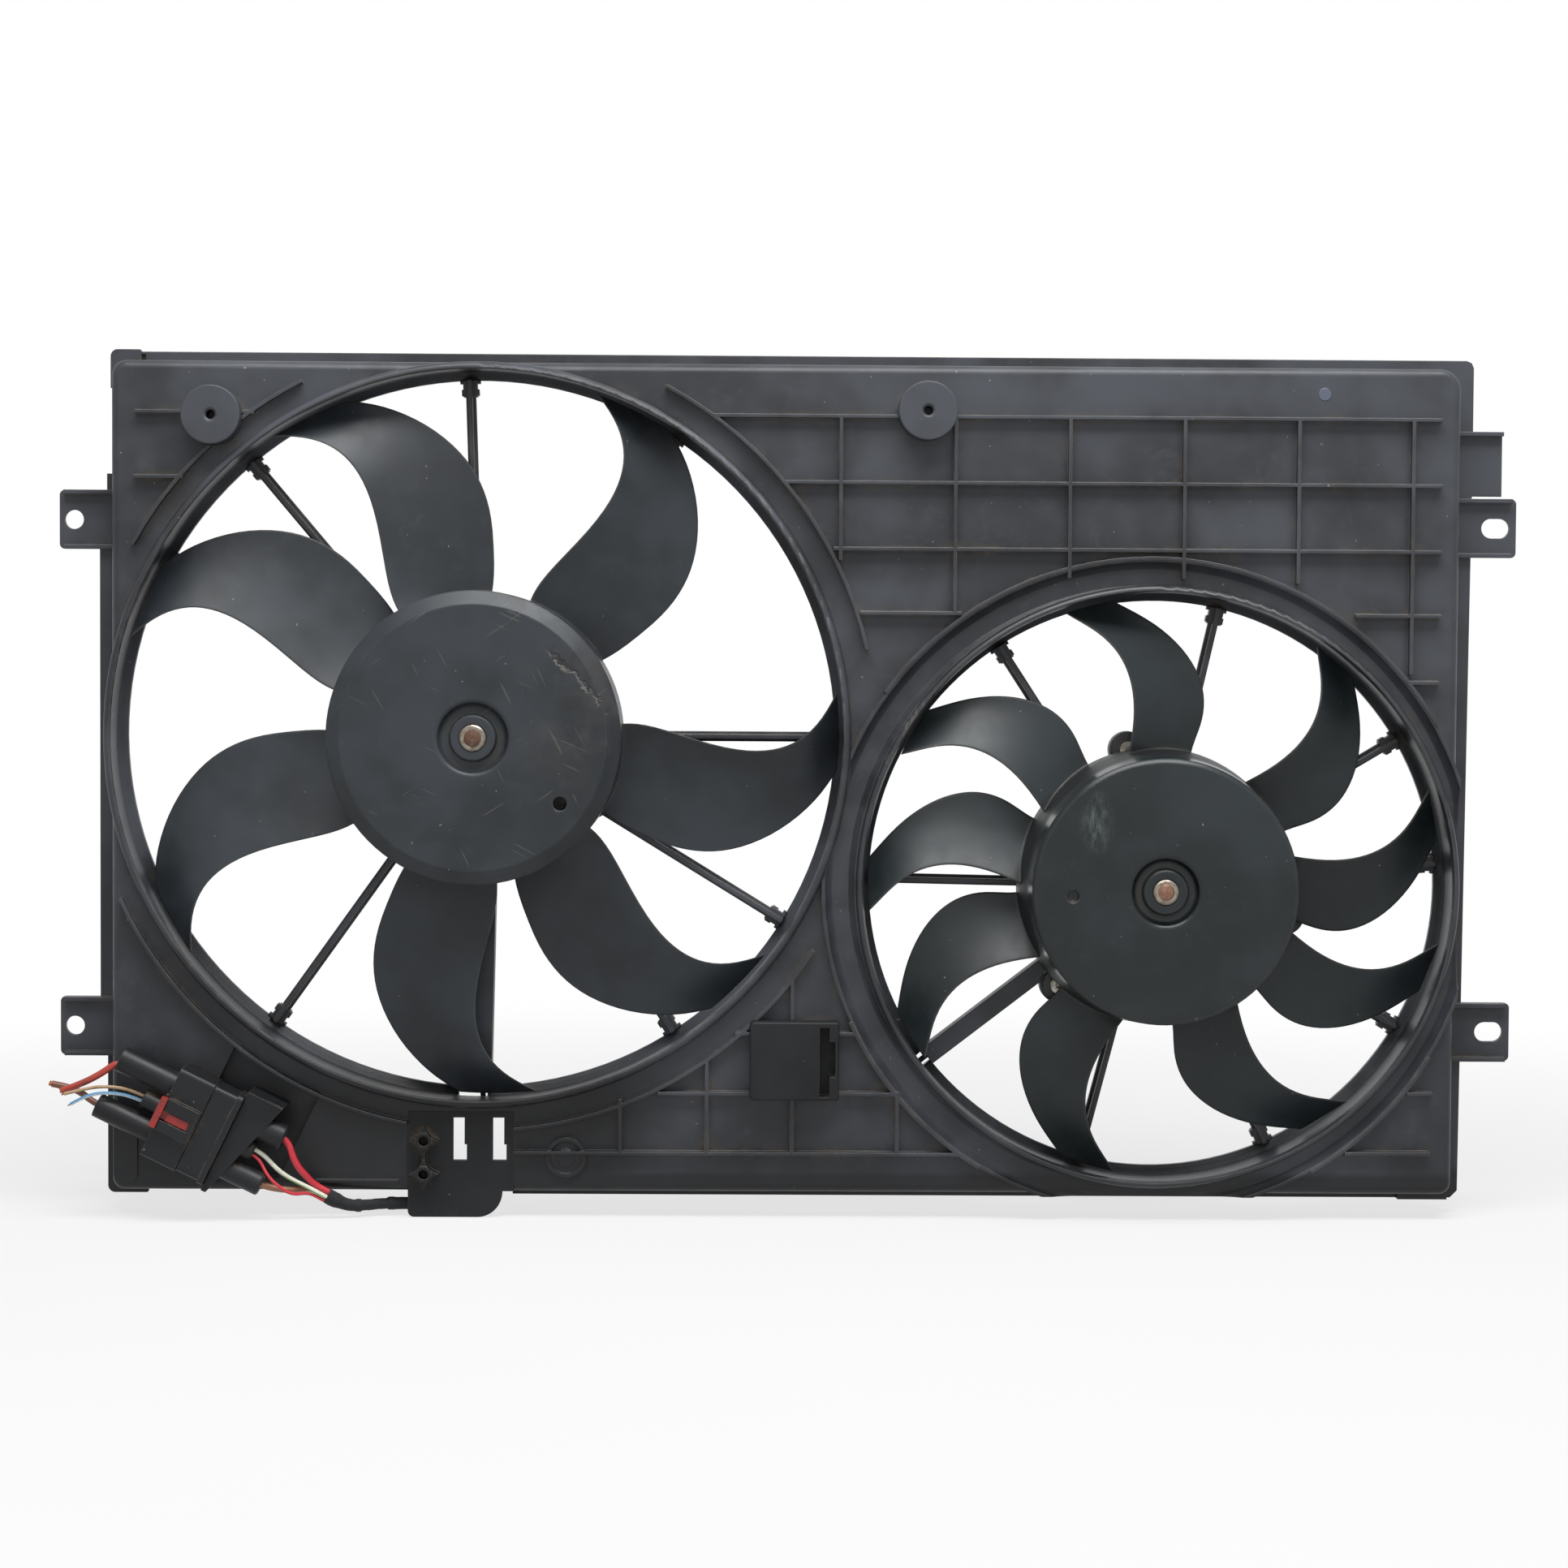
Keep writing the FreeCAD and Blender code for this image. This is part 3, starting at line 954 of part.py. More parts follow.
# Taped sleeve round the bottom edge and in behind the tab, then one lead to each motor
SLEEVE_NEXT = SLEEVE_START + SLEEVE_RUN * 10.0
SLEEVE = ((-220.0, -197.0, 31.5), (SLEEVE_NEXT.x, SLEEVE_NEXT.z, DEPTH / 2 - SLEEVE_NEXT.y),
          (-203.0, -202.6, 25.6), (-192.0, -202.2, 20.6), (-177.5, -202.8, 17.6), (-164.5, -201.0, 13.8),
          (-154.0, -195.2, 10.6), (-147.0, -188.5, 8.6))
sleeve = cord("harness_sleeve", SLEEVE, SLEEVE_D)
collar_end = SLEEVE_START + SLEEVE_RUN * 5.0
tape = Part.makeCylinder(SLEEVE_START_D / 2, 5.0, SLEEVE_START, SLEEVE_RUN)
cone = Part.makeCone(SLEEVE_START_D / 2, SLEEVE_D / 2, 3.0, collar_end, SLEEVE_RUN)
save("harness_sleeve", fused([sleeve, tape, cone]))
SLEEVE_END = at(*SLEEVE[-1])
SLEEVE_OUT = (SLEEVE_END - at(*SLEEVE[-2])).normalize()
BESIDE = Vector(-0.7, 0.0, 0.7)
BESIDE = (BESIDE - SLEEVE_OUT * BESIDE.dot(SLEEVE_OUT)).normalize()


def out_of_sleeve(beside):
    """First two points of a lead: on the sleeve's end face and straight out of it."""
    points = []
    for run in (0.0, 5.0):
        spot = SLEEVE_END + BESIDE * beside + SLEEVE_OUT * run
        points.append((spot.x, spot.z, DEPTH / 2 - spot.y))
    return tuple(points)


BIG_LEAD = out_of_sleeve(1.4) + ((-144.6, -172.0, 5.6), (-147.6, -152.0, 4.6),
            (-149.3, -108.0, 4.4), (-147.8, -68.0, 4.6), (-148.5, BIG["z"] - BIG["case_r"] + 2.0, 4.6))
SMALL_LEAD = out_of_sleeve(-1.4) + ((-133.0, -184.4, 5.8), (-112.0, -187.0, 5.2), (-80.0, -187.8, 5.0),
              (-38.0, -186.2, 4.8), (6.0, -187.2, 4.8), (34.0, -178.0, 4.8), (47.5, -157.5, 4.8),
              polar(SMALL, 148.0, SMALL_CHANNEL[0]) + (4.8,), polar(SMALL, 104.0, SMALL_CHANNEL[0]) + (4.7,),
              polar(SMALL, SMALL["case_r"] - 2.0, SMALL_CHANNEL[0]) + (4.7,))
save("big_motor_lead", cord("big_motor_lead", BIG_LEAD, LEAD_D))
save("small_motor_lead", cord("small_motor_lead", SMALL_LEAD, LEAD_D))
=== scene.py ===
import bmesh
import bpy
import math
import random
from mathutils import Matrix, Vector


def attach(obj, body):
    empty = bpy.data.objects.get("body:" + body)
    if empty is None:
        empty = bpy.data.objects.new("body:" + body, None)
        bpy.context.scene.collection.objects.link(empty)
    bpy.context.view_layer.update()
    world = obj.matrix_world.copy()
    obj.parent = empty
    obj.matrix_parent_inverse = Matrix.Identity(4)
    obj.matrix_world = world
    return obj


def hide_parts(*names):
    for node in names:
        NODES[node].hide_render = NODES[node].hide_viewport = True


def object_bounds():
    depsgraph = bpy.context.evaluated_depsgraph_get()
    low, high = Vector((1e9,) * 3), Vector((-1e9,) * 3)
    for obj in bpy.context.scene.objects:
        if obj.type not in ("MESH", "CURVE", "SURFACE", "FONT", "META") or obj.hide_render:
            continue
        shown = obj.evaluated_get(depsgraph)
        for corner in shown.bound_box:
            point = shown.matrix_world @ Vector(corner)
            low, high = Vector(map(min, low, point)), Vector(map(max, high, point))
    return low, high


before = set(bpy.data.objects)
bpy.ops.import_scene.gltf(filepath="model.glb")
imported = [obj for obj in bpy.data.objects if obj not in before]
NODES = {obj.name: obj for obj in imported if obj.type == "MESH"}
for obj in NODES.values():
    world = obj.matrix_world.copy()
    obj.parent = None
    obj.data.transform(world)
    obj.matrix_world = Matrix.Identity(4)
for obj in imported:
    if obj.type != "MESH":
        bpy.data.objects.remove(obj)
cad_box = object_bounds()

# Lengths are in metres. A texture scale of PER_MM / n puts one grain of the pattern on n millimetres
MM = 0.001
PER_MM = 1000.0

# Middles of the two fans' hub faces, in metres: X right and Z up as the engine side shows them
BIG_HUB = Vector((-0.1485, -0.029, 0.0231))
SMALL_HUB = Vector((0.1769, -0.029, -0.0475))

# The photograph was taken from 1.63 m, a little above and left of the middle. Its focal length is
# in its own pixels, and the sensor's width in mm
PHOTO_SIDE = 1932
FOCAL_PX = 4211.0
SENSOR = 36.0
CAMERA_AT = Vector((-0.02289, -1.628, 0.06544))
CAMERA_RIGHT = Vector((0.99990518, -0.01234425, 0.00610387))
CAMERA_UP = Vector((-0.00561241, 0.03946299, 0.99920527))
NEAREST_SEEN = 0.05


def aim_camera():
    """Stand a camera where the photograph was taken, with the photograph's angle of view."""
    lens = bpy.data.cameras.new("photo_lens")
    lens.sensor_width = SENSOR
    lens.lens = SENSOR * FOCAL_PX / PHOTO_SIDE
    lens.clip_start = NEAREST_SEEN
    camera = bpy.data.objects.new("photo_camera", lens)
    bpy.context.scene.collection.objects.link(camera)
    back = CAMERA_RIGHT.cross(CAMERA_UP).normalized()
    turn = Matrix((CAMERA_RIGHT.normalized(), CAMERA_UP.normalized(), back)).transposed()
    camera.matrix_world = Matrix.Translation(CAMERA_AT) @ turn.to_4x4()
    bpy.context.scene.camera = camera


aim_camera()


def linear(code):
    """Turn a written sRGB hex colour into the linear one that a shader wants."""
    parts = [int(code[i:i + 2], 16) / 255 for i in (1, 3, 5)]
    return tuple(c / 12.92 if c <= 0.04045 else ((c + 0.055) / 1.055) ** 2.4 for c in parts) + (1.0,)


def add(look, kind, inputs=None, out=0, **settings):
    """Add a node with its settings, fill its sockets with values, colours or links, give an output."""
    node = look.node_tree.nodes.new(kind)
    for key, value in settings.items():
        setattr(node, key, value)
    for key, value in (inputs or {}).items():
        if isinstance(value, bpy.types.NodeSocket):
            look.node_tree.links.new(value, node.inputs[key])
        else:
            node.inputs[key].default_value = linear(value) if isinstance(value, str) else value
    return node.outputs[out] if node.outputs else None


def blank(name):
    """New material without nodes."""
    look = bpy.data.materials.new(name)
    look.use_nodes = True
    look.node_tree.nodes.clear()
    return look


def paint(look, *nodes):
    """Give CAD nodes a material in place of the plain one they came with."""
    for name in nodes:
        slots = NODES[name].data.materials
        slots.clear()
        slots.append(look)


def near_point(look, place, point, far_mm, close_mm):
    """Mask that is 1 within close_mm of a point and has faded to 0 at far_mm."""
    away = add(look, "ShaderNodeVectorMath", {0: place, 1: point}, out="Value", operation="DISTANCE")
    return add(look, "ShaderNodeMapRange", {
        "Value": away, "From Min": far_mm * MM, "From Max": close_mm * MM},
        interpolation_type="SMOOTHSTEP")


# Shroud, fans and connector: glass-filled nylon
RUBBED_AND_LIT_EDGE = "#6C675F"
ROAD_DUST = "#6F6250"
PALE_GRIT = "#8F8C86"


def moulded_nylon(name, deep, worn, shine, rough, dust, edge_worn_and_lit, marks=None, edge_mm=0.8):
    """Nylon with a third glass fibre, injection moulded, years under a bonnet.

    The eye gets satin black in soft clouds where the melt flowed, rounded edges paler, partly
    rubbed and partly a painted highlight, brown dust held in the corners, and grit here and there.
    The two blacks are deep and worn, shine is the specular level, and dust and edge_worn_and_lit
    are how strongly those two show.
    """
    look = blank(name)
    place = add(look, "ShaderNodeTexCoord", out="Object")
    # The melt's clouds are a hand's breadth across, with finger-wide ones inside them
    clouds = add(look, "ShaderNodeTexNoise", {
        "Vector": place, "Scale": PER_MM / 70, "Detail": 3.0, "Roughness": 0.6})
    cloudy = add(look, "ShaderNodeMapRange", {
        "Value": clouds, "From Min": 0.36, "From Max": 0.66}, interpolation_type="SMOOTHSTEP")
    smears = add(look, "ShaderNodeTexNoise", {
        "Vector": place, "Scale": PER_MM / 11, "Detail": 4.0, "Roughness": 0.65, "Distortion": 0.4})
    smeared = add(look, "ShaderNodeMapRange", {
        "Value": smears, "From Min": 0.5, "From Max": 0.78, "To Max": 0.5},
        interpolation_type="SMOOTHSTEP")
    base = add(look, "ShaderNodeMix", {0: cloudy, 6: deep, 7: worn}, out=2, data_type="RGBA")
    base = add(look, "ShaderNodeMix", {0: smeared, 6: base, 7: worn}, out=2, data_type="RGBA")
    # Paler rounded edges, part handling rub and part painted highlight, where the rounded normal leaves
    # the true one
    rounded = add(look, "ShaderNodeBevel", {"Radius": edge_mm * MM}, samples=6)
    straight = add(look, "ShaderNodeNewGeometry", out="Normal")
    turned = add(look, "ShaderNodeVectorMath", {0: rounded, 1: straight}, out="Value",
                 operation="DOT_PRODUCT")
    edge = add(look, "ShaderNodeMapRange", {
        "Value": turned, "From Min": 0.99, "From Max": 0.8, "To Max": edge_worn_and_lit},
        interpolation_type="SMOOTHSTEP")
    uneven = add(look, "ShaderNodeTexNoise", {
        "Vector": place, "Scale": PER_MM / 9, "Detail": 3.0, "Roughness": 0.6})
    kept = add(look, "ShaderNodeMapRange", {"Value": uneven, "From Min": 0.3, "From Max": 0.65})
    rubbed_and_lit = add(look, "ShaderNodeMath", {0: edge, 1: kept}, operation="MULTIPLY")
    base = add(look, "ShaderNodeMix", {0: rubbed_and_lit, 6: base, 7: RUBBED_AND_LIT_EDGE}, out=2, data_type="RGBA")
    # Brown dust lies within 6 mm of inner corners, in patches
    open_air = add(look, "ShaderNodeAmbientOcclusion", {"Distance": 6.0 * MM}, out="AO", samples=6)
    held = add(look, "ShaderNodeMapRange", {
        "Value": open_air, "From Min": 0.85, "From Max": 0.35, "To Max": dust},
        interpolation_type="SMOOTHSTEP")
    patches = add(look, "ShaderNodeTexNoise", {
        "Vector": place, "Scale": PER_MM / 16, "Detail": 4.0, "Roughness": 0.7})
    patchy = add(look, "ShaderNodeMapRange", {
        "Value": patches, "From Min": 0.44, "From Max": 0.64}, interpolation_type="SMOOTHSTEP")
    dusty = add(look, "ShaderNodeMath", {0: held, 1: patchy}, operation="MULTIPLY")
    base = add(look, "ShaderNodeMix", {0: dusty, 6: base, 7: ROAD_DUST}, out=2, data_type="RGBA")
    # Grit is about 0.3 mm, drawn at 0.6 mm so that it shows
    grit = add(look, "ShaderNodeTexNoise", {
        "Vector": place, "Scale": PER_MM / 2.4, "Detail": 1.0, "Roughness": 0.4})
    gritty = add(look, "ShaderNodeMapRange", {
        "Value": grit, "From Min": 0.80, "From Max": 0.83, "To Max": 0.55})
    base = add(look, "ShaderNodeMix", {0: gritty, 6: base, 7: PALE_GRIT}, out=2, data_type="RGBA")
    gloss = add(look, "ShaderNodeMapRange", {
        "Value": smears, "From Min": 0.3, "From Max": 0.75,
        "To Min": rough - 0.05, "To Max": rough + 0.08})
    # Spark-eroded grain is about 0.2 mm, drawn at 0.8 mm, on walls that shrank in faint waves
    grain = add(look, "ShaderNodeTexNoise", {
        "Vector": place, "Scale": PER_MM / 0.8, "Detail": 2.0, "Roughness": 0.7})
    normal = add(look, "ShaderNodeBump", {
        "Height": grain, "Strength": 1.0, "Distance": 0.022 * MM, "Normal": rounded})
    waves = add(look, "ShaderNodeTexNoise", {"Vector": place, "Scale": PER_MM / 26, "Detail": 1.0})
    normal = add(look, "ShaderNodeBump", {
        "Height": waves, "Strength": 1.0, "Distance": 0.5 * MM, "Normal": normal})
    if marks:
        base, gloss, normal = marks(look, place, base, gloss, normal)
    shader = add(look, "ShaderNodeBsdfPrincipled", {
        "Base Color": base, "Roughness": gloss, "Normal": normal, "IOR": 1.5,
        "Specular IOR Level": shine})
    add(look, "ShaderNodeOutputMaterial", {"Surface": shader})
    return look


# Marks of the shroud: painted shade fades in from the first of two places to the second, all in metres
PAINTED_SHADE_BLACK = "#0B0C0E"
SHADE_EDGE_Z = (-0.1835, -0.1885)
SHADE_BAY_X = (-0.045, -0.095)
SHADE_BAY_Z = (-0.118, -0.148)
EJECTOR_MARK = (0.2549, 0.006, 0.1885)
TIP_RUB = (0.058, -0.004, 0.022)


def panel_marks(look, place, base, gloss, normal):
    """Painted shade, near black, on the bay's floor and along the bottom edge, and one bluer ejector
    mark.
    """
    across = add(look, "ShaderNodeSeparateXYZ", {"Vector": place}, out="X")
    height = add(look, "ShaderNodeSeparateXYZ", {"Vector": place}, out="Z")
    # Painted shade: darker along the bottom edge and over the bay's floor
    edge = add(look, "ShaderNodeMapRange", {
        "Value": height, "From Min": SHADE_EDGE_Z[0], "From Max": SHADE_EDGE_Z[1]},
        interpolation_type="SMOOTHSTEP")
    left = add(look, "ShaderNodeMapRange", {
        "Value": across, "From Min": SHADE_BAY_X[0], "From Max": SHADE_BAY_X[1]})
    under = add(look, "ShaderNodeMapRange", {
        "Value": height, "From Min": SHADE_BAY_Z[0], "From Max": SHADE_BAY_Z[1]})
    bay = add(look, "ShaderNodeMath", {0: left, 1: under}, operation="MULTIPLY")
    painted_shade = add(look, "ShaderNodeMath", {0: edge, 1: bay}, operation="MAXIMUM")
    painted_shade = add(look, "ShaderNodeMath", {0: painted_shade, 1: 0.85}, operation="MULTIPLY")
    base = add(look, "ShaderNodeMix", {0: painted_shade, 6: base, 7: PAINTED_SHADE_BLACK}, out=2, data_type="RGBA")
    disc = near_point(look, place, EJECTOR_MARK, 3.3, 2.8)
    tone = add(look, "ShaderNodeMath", {0: disc, 1: 0.6}, operation="MULTIPLY")
    base = add(look, "ShaderNodeMix", {0: tone, 6: base, 7: "#5E6676"}, out=2, data_type="RGBA")
    normal = add(look, "ShaderNodeBump", {
        "Height": disc, "Strength": 1.0, "Distance": 0.3 * MM, "Normal": normal})
    return base, gloss, normal


def ring_marks(look, place, base, gloss, normal):
    """Blade tips have brushed the small ring's left wall pale, in streaks along the rim."""
    near = near_point(look, place, TIP_RUB, 42.0, 8.0)
    along = add(look, "ShaderNodeMapping", {
        "Vector": place, "Rotation": (0.0, math.radians(35.0), 0.0), "Scale": (4.0, 4.0, 1.0)})
    streaks = add(look, "ShaderNodeTexNoise", {
        "Vector": along, "Scale": PER_MM / 14, "Detail": 4.0, "Roughness": 0.8})
    streaky = add(look, "ShaderNodeMapRange", {
        "Value": streaks, "From Min": 0.52, "From Max": 0.72, "To Max": 0.6})
    brushed = add(look, "ShaderNodeMath", {0: near, 1: streaky}, operation="MULTIPLY")
    base = add(look, "ShaderNodeMix", {0: brushed, 6: base, 7: "#8D8371"}, out=2, data_type="RGBA")
    return base, gloss, normal


paint(moulded_nylon("shroud_nylon_moulded", "#26282C", "#3E4147", shine=0.35, rough=0.44, dust=0.35,
                    edge_worn_and_lit=0.8, marks=panel_marks),
      "shroud_panel", "big_fan_ring", "big_motor_mount", "small_motor_mount", "left_pad", "right_pad")
# The small ring gets a darker copy of the shroud's nylon, as painted shade on its walls that face down
paint(moulded_nylon("small_ring_nylon_shaded", "#222528", "#33363A", shine=0.4, rough=0.36, dust=0.35,
                    edge_worn_and_lit=0.7, marks=ring_marks), "small_fan_ring")
paint(moulded_nylon("lower_nylon_moulded", "#121315", "#1E2023", shine=0.25, rough=0.5, dust=0.4,
                    edge_worn_and_lit=0.5), "module_holder", "cable_tab", "connector_bracket")


# Marks of the large hub, in metres: the torn line lies square to TORN_ACROSS, off the middle
TORN_MIDDLE = BIG_HUB + Vector((0.051, 0.0, 0.028))
TORN_ACROSS = (0.732, 0.0, 0.682)
TORN_OFF = 55.1 * MM
WIPED_MIDDLE = BIG_HUB + Vector((0.055, 0.0, 0.012))
# Direction of each set of scratches in degrees, and the noise level above which one shows
SCRATCHES = ((55.0, 0.72), (-28.0, 0.73), (-65.0, 0.72))


def big_hub_marks(look, place, base, gloss, normal):
    """The large hub's face: dragged scuffs at its upper right, dull wipes, long fine scratches."""
    # A torn line 2 mm wide runs down the upper right, in pieces, with a dark smear about it
    near = near_point(look, place, TORN_MIDDLE, 24.0, 14.0)
    tears = add(look, "ShaderNodeTexNoise", {
        "Vector": place, "Scale": PER_MM / 13, "Detail": 5.0, "Roughness": 0.7})
    strayed = add(look, "ShaderNodeMapRange", {"Value": tears, "To Min": -8.0 * MM, "To Max": 8.0 * MM})
    smear = add(look, "ShaderNodeMapRange", {
        "Value": tears, "From Min": 0.38, "From Max": 0.6, "To Max": 0.5})
    smear = add(look, "ShaderNodeMath", {0: smear, 1: near}, operation="MULTIPLY")
    base = add(look, "ShaderNodeMix", {0: smear, 6: base, 7: "#191817"}, out=2, data_type="RGBA")
    from_hub = add(look, "ShaderNodeVectorMath", {0: place, 1: BIG_HUB}, operation="SUBTRACT")
    aside = add(look, "ShaderNodeVectorMath", {0: from_hub, 1: TORN_ACROSS}, out="Value",
                operation="DOT_PRODUCT")
    line = add(look, "ShaderNodeMath", {0: aside, 1: strayed}, operation="ADD")
    off = add(look, "ShaderNodeMath", {0: line, 1: TORN_OFF}, operation="SUBTRACT")
    gap = add(look, "ShaderNodeMath", {0: off}, operation="ABSOLUTE")
    torn = add(look, "ShaderNodeMapRange", {
        "Value": gap, "From Min": 1.3 * MM, "From Max": 0.5 * MM}, interpolation_type="SMOOTHSTEP")
    broken = add(look, "ShaderNodeTexNoise", {
        "Vector": place, "Scale": PER_MM / 5, "Detail": 3.0, "Roughness": 0.7})
    pieces = add(look, "ShaderNodeMapRange", {"Value": broken, "From Min": 0.42, "From Max": 0.54})
    torn = add(look, "ShaderNodeMath", {0: torn, 1: pieces}, operation="MULTIPLY")
    scuffed = add(look, "ShaderNodeMath", {0: near, 1: torn}, operation="MULTIPLY")
    # The nylon stands up in a pale lip 1.5 mm inside the line
    inside = add(look, "ShaderNodeMath", {0: off, 1: 1.5 * MM}, operation="ADD")
    from_lip = add(look, "ShaderNodeMath", {0: inside}, operation="ABSOLUTE")
    lifted = add(look, "ShaderNodeMapRange", {
        "Value": from_lip, "From Min": 0.7 * MM, "From Max": 0.25 * MM})
    lifted = add(look, "ShaderNodeMath", {0: lifted, 1: pieces}, operation="MULTIPLY")
    raised = add(look, "ShaderNodeMath", {0: lifted, 1: near}, operation="MULTIPLY")
    dark = add(look, "ShaderNodeMath", {0: scuffed, 1: 0.7}, operation="MULTIPLY")
    base = add(look, "ShaderNodeMix", {0: dark, 6: base, 7: "#0E0D0D"}, out=2, data_type="RGBA")
    pale = add(look, "ShaderNodeMath", {0: raised, 1: 0.55}, operation="MULTIPLY")
    base = add(look, "ShaderNodeMix", {0: pale, 6: base, 7: "#8A857E"}, out=2, data_type="RGBA")
    # Dull wipes, warmer than the nylon, on the right half
    right = near_point(look, place, WIPED_MIDDLE, 48.0, 12.0)
    wipes = add(look, "ShaderNodeTexNoise", {
        "Vector": place, "Scale": PER_MM / 30, "Detail": 3.0, "Roughness": 0.6})
    wiped = add(look, "ShaderNodeMapRange", {
        "Value": wipes, "From Min": 0.42, "From Max": 0.66, "To Max": 0.4},
        interpolation_type="SMOOTHSTEP")
    film = add(look, "ShaderNodeMath", {0: wiped, 1: right}, operation="MULTIPLY")
    base = add(look, "ShaderNodeMix", {0: film, 6: base, 7: "#4B4847"}, out=2, data_type="RGBA")
    # Scratches 0.15 mm wide and centimetres long, drawn at 0.5 mm, on the face only
    spread = add(look, "ShaderNodeVectorMath", {0: place, 1: BIG_HUB}, out="Value", operation="DISTANCE")
    face = add(look, "ShaderNodeMapRange", {
        "Value": spread, "From Min": 70.0 * MM, "From Max": 62.0 * MM, "To Max": 0.2})
    for degrees, level in SCRATCHES:
        laid = add(look, "ShaderNodeMapping", {
            "Vector": place, "Rotation": (0.0, math.radians(degrees), 0.0),
            "Scale": (1.0, 1000.0, 14.0)}, vector_type="TEXTURE")
        lines = add(look, "ShaderNodeTexNoise", {
            "Vector": laid, "Scale": PER_MM / 2.0, "Detail": 1.0, "Roughness": 0.5, "Distortion": 0.3})
        fine = add(look, "ShaderNodeMapRange", {
            "Value": lines, "From Min": level, "From Max": level + 0.03})
        fine = add(look, "ShaderNodeMath", {0: fine, 1: face}, operation="MULTIPLY")
        base = add(look, "ShaderNodeMix", {0: fine, 6: base, 7: "#7A7268"}, out=2, data_type="RGBA")
    normal = add(look, "ShaderNodeBump", {
        "Height": scuffed, "Strength": 1.0, "Distance": -0.25 * MM, "Normal": normal})
    return base, gloss, normal


# Middle of the small hub's smudge in metres, and how many times taller than wide it is
SMUDGE_X = 0.1440
SMUDGE_Z = -0.0150
SMUDGE_TALL = 1.9


def small_hub_marks(look, place, base, gloss, normal):
    """The small hub: one whitish brushed smudge on its glossy face, and painted shade on its side wall.
    """
    away = add(look, "ShaderNodeMapping", {
        "Vector": place, "Location": (-SMUDGE_X * SMUDGE_TALL, 0.0, -SMUDGE_Z),
        "Scale": (SMUDGE_TALL, 0.2, 1.0)})
    off = add(look, "ShaderNodeVectorMath", {0: away}, out="Value", operation="LENGTH")
    near = add(look, "ShaderNodeMapRange", {
        "Value": off, "From Min": 19.0 * MM, "From Max": 4.0 * MM}, interpolation_type="SMOOTHSTEP")
    upright = add(look, "ShaderNodeMapping", {
        "Vector": place, "Rotation": (0.0, math.radians(12.0), 0.0), "Scale": (3.0, 0.0, 1.0)})
    strokes = add(look, "ShaderNodeTexNoise", {
        "Vector": upright, "Scale": PER_MM / 8, "Detail": 5.0, "Roughness": 0.75})
    brushed = add(look, "ShaderNodeMapRange", {
        "Value": strokes, "From Min": 0.38, "From Max": 0.80, "To Max": 0.6},
        interpolation_type="SMOOTHSTEP")
    smudge = add(look, "ShaderNodeMath", {0: near, 1: brushed}, operation="MULTIPLY")
    base = add(look, "ShaderNodeMix", {0: smudge, 6: base, 7: "#7B8683"}, out=2, data_type="RGBA")
    # The face, up to 65 mm from its middle, is wiped clean and glossier than the blades
    spread = add(look, "ShaderNodeVectorMath", {0: place, 1: SMALL_HUB}, out="Value",
                 operation="DISTANCE")
    wiped = add(look, "ShaderNodeMapRange", {
        "Value": spread, "From Min": 65.5 * MM, "From Max": 64.0 * MM})
    gloss = add(look, "ShaderNodeMix", {0: wiped, 2: gloss, 3: 0.27}, data_type="FLOAT")
    # The cup's side wall, behind the rounded rim, gets painted shade: near black and duller
    behind = add(look, "ShaderNodeMapRange", {
        "Value": spread, "From Min": 65.0 * MM, "From Max": 66.5 * MM})
    ahead = add(look, "ShaderNodeMapRange", {
        "Value": spread, "From Min": 78.0 * MM, "From Max": 75.0 * MM, "To Max": 0.85})
    shaded_wall = add(look, "ShaderNodeMath", {0: behind, 1: ahead}, operation="MULTIPLY")
    base = add(look, "ShaderNodeMix", {0: shaded_wall, 6: base, 7: "#08090A"}, out=2, data_type="RGBA")
    gloss = add(look, "ShaderNodeMix", {0: shaded_wall, 2: gloss, 3: 0.55}, data_type="FLOAT")
    return base, gloss, normal


# The small fan is of a darker, greener batch than the large one
paint(moulded_nylon("big_fan_nylon_moulded", "#1C2024", "#2E3338", shine=0.35, rough=0.42, dust=0.2,
                    edge_worn_and_lit=0.5, marks=big_hub_marks, edge_mm=1.4), "big_fan")
paint(moulded_nylon("small_fan_nylon_moulded", "#12181A", "#20272A", shine=0.35, rough=0.42, dust=0.15,
                    edge_worn_and_lit=0.5, marks=small_hub_marks, edge_mm=1.8), "small_fan")
paint(moulded_nylon("connector_nylon_moulded", "#101114", "#1B1D20", shine=0.3, rough=0.42, dust=0.8,
                    edge_worn_and_lit=0.8), "plug_housing", "socket_housing")


def pressed_or_moulded(name, colour, other, rough, spot_mm, grain_mm, grain_deep_mm):
    """Small part in one colour: blotches spot_mm wide, grain grain_deep_mm deep, broken edges."""
    look = blank(name)
    place = add(look, "ShaderNodeTexCoord", out="Object")
    blotches = add(look, "ShaderNodeTexNoise", {
        "Vector": place, "Scale": PER_MM / spot_mm, "Detail": 3.0, "Roughness": 0.6})
    share = add(look, "ShaderNodeMapRange", {
        "Value": blotches, "From Min": 0.35, "From Max": 0.68}, interpolation_type="SMOOTHSTEP")
    base = add(look, "ShaderNodeMix", {0: share, 6: colour, 7: other}, out=2, data_type="RGBA")
    rounded = add(look, "ShaderNodeBevel", {"Radius": 0.25 * MM}, samples=4)
    grain = add(look, "ShaderNodeTexNoise", {"Vector": place, "Scale": PER_MM / grain_mm, "Detail": 2.0})
    normal = add(look, "ShaderNodeBump", {
        "Height": grain, "Strength": 1.0, "Distance": grain_deep_mm * MM, "Normal": rounded})
    shader = add(look, "ShaderNodeBsdfPrincipled", {
        "Base Color": base, "Roughness": rough, "Normal": normal})
    add(look, "ShaderNodeOutputMaterial", {"Surface": shader})
    return look


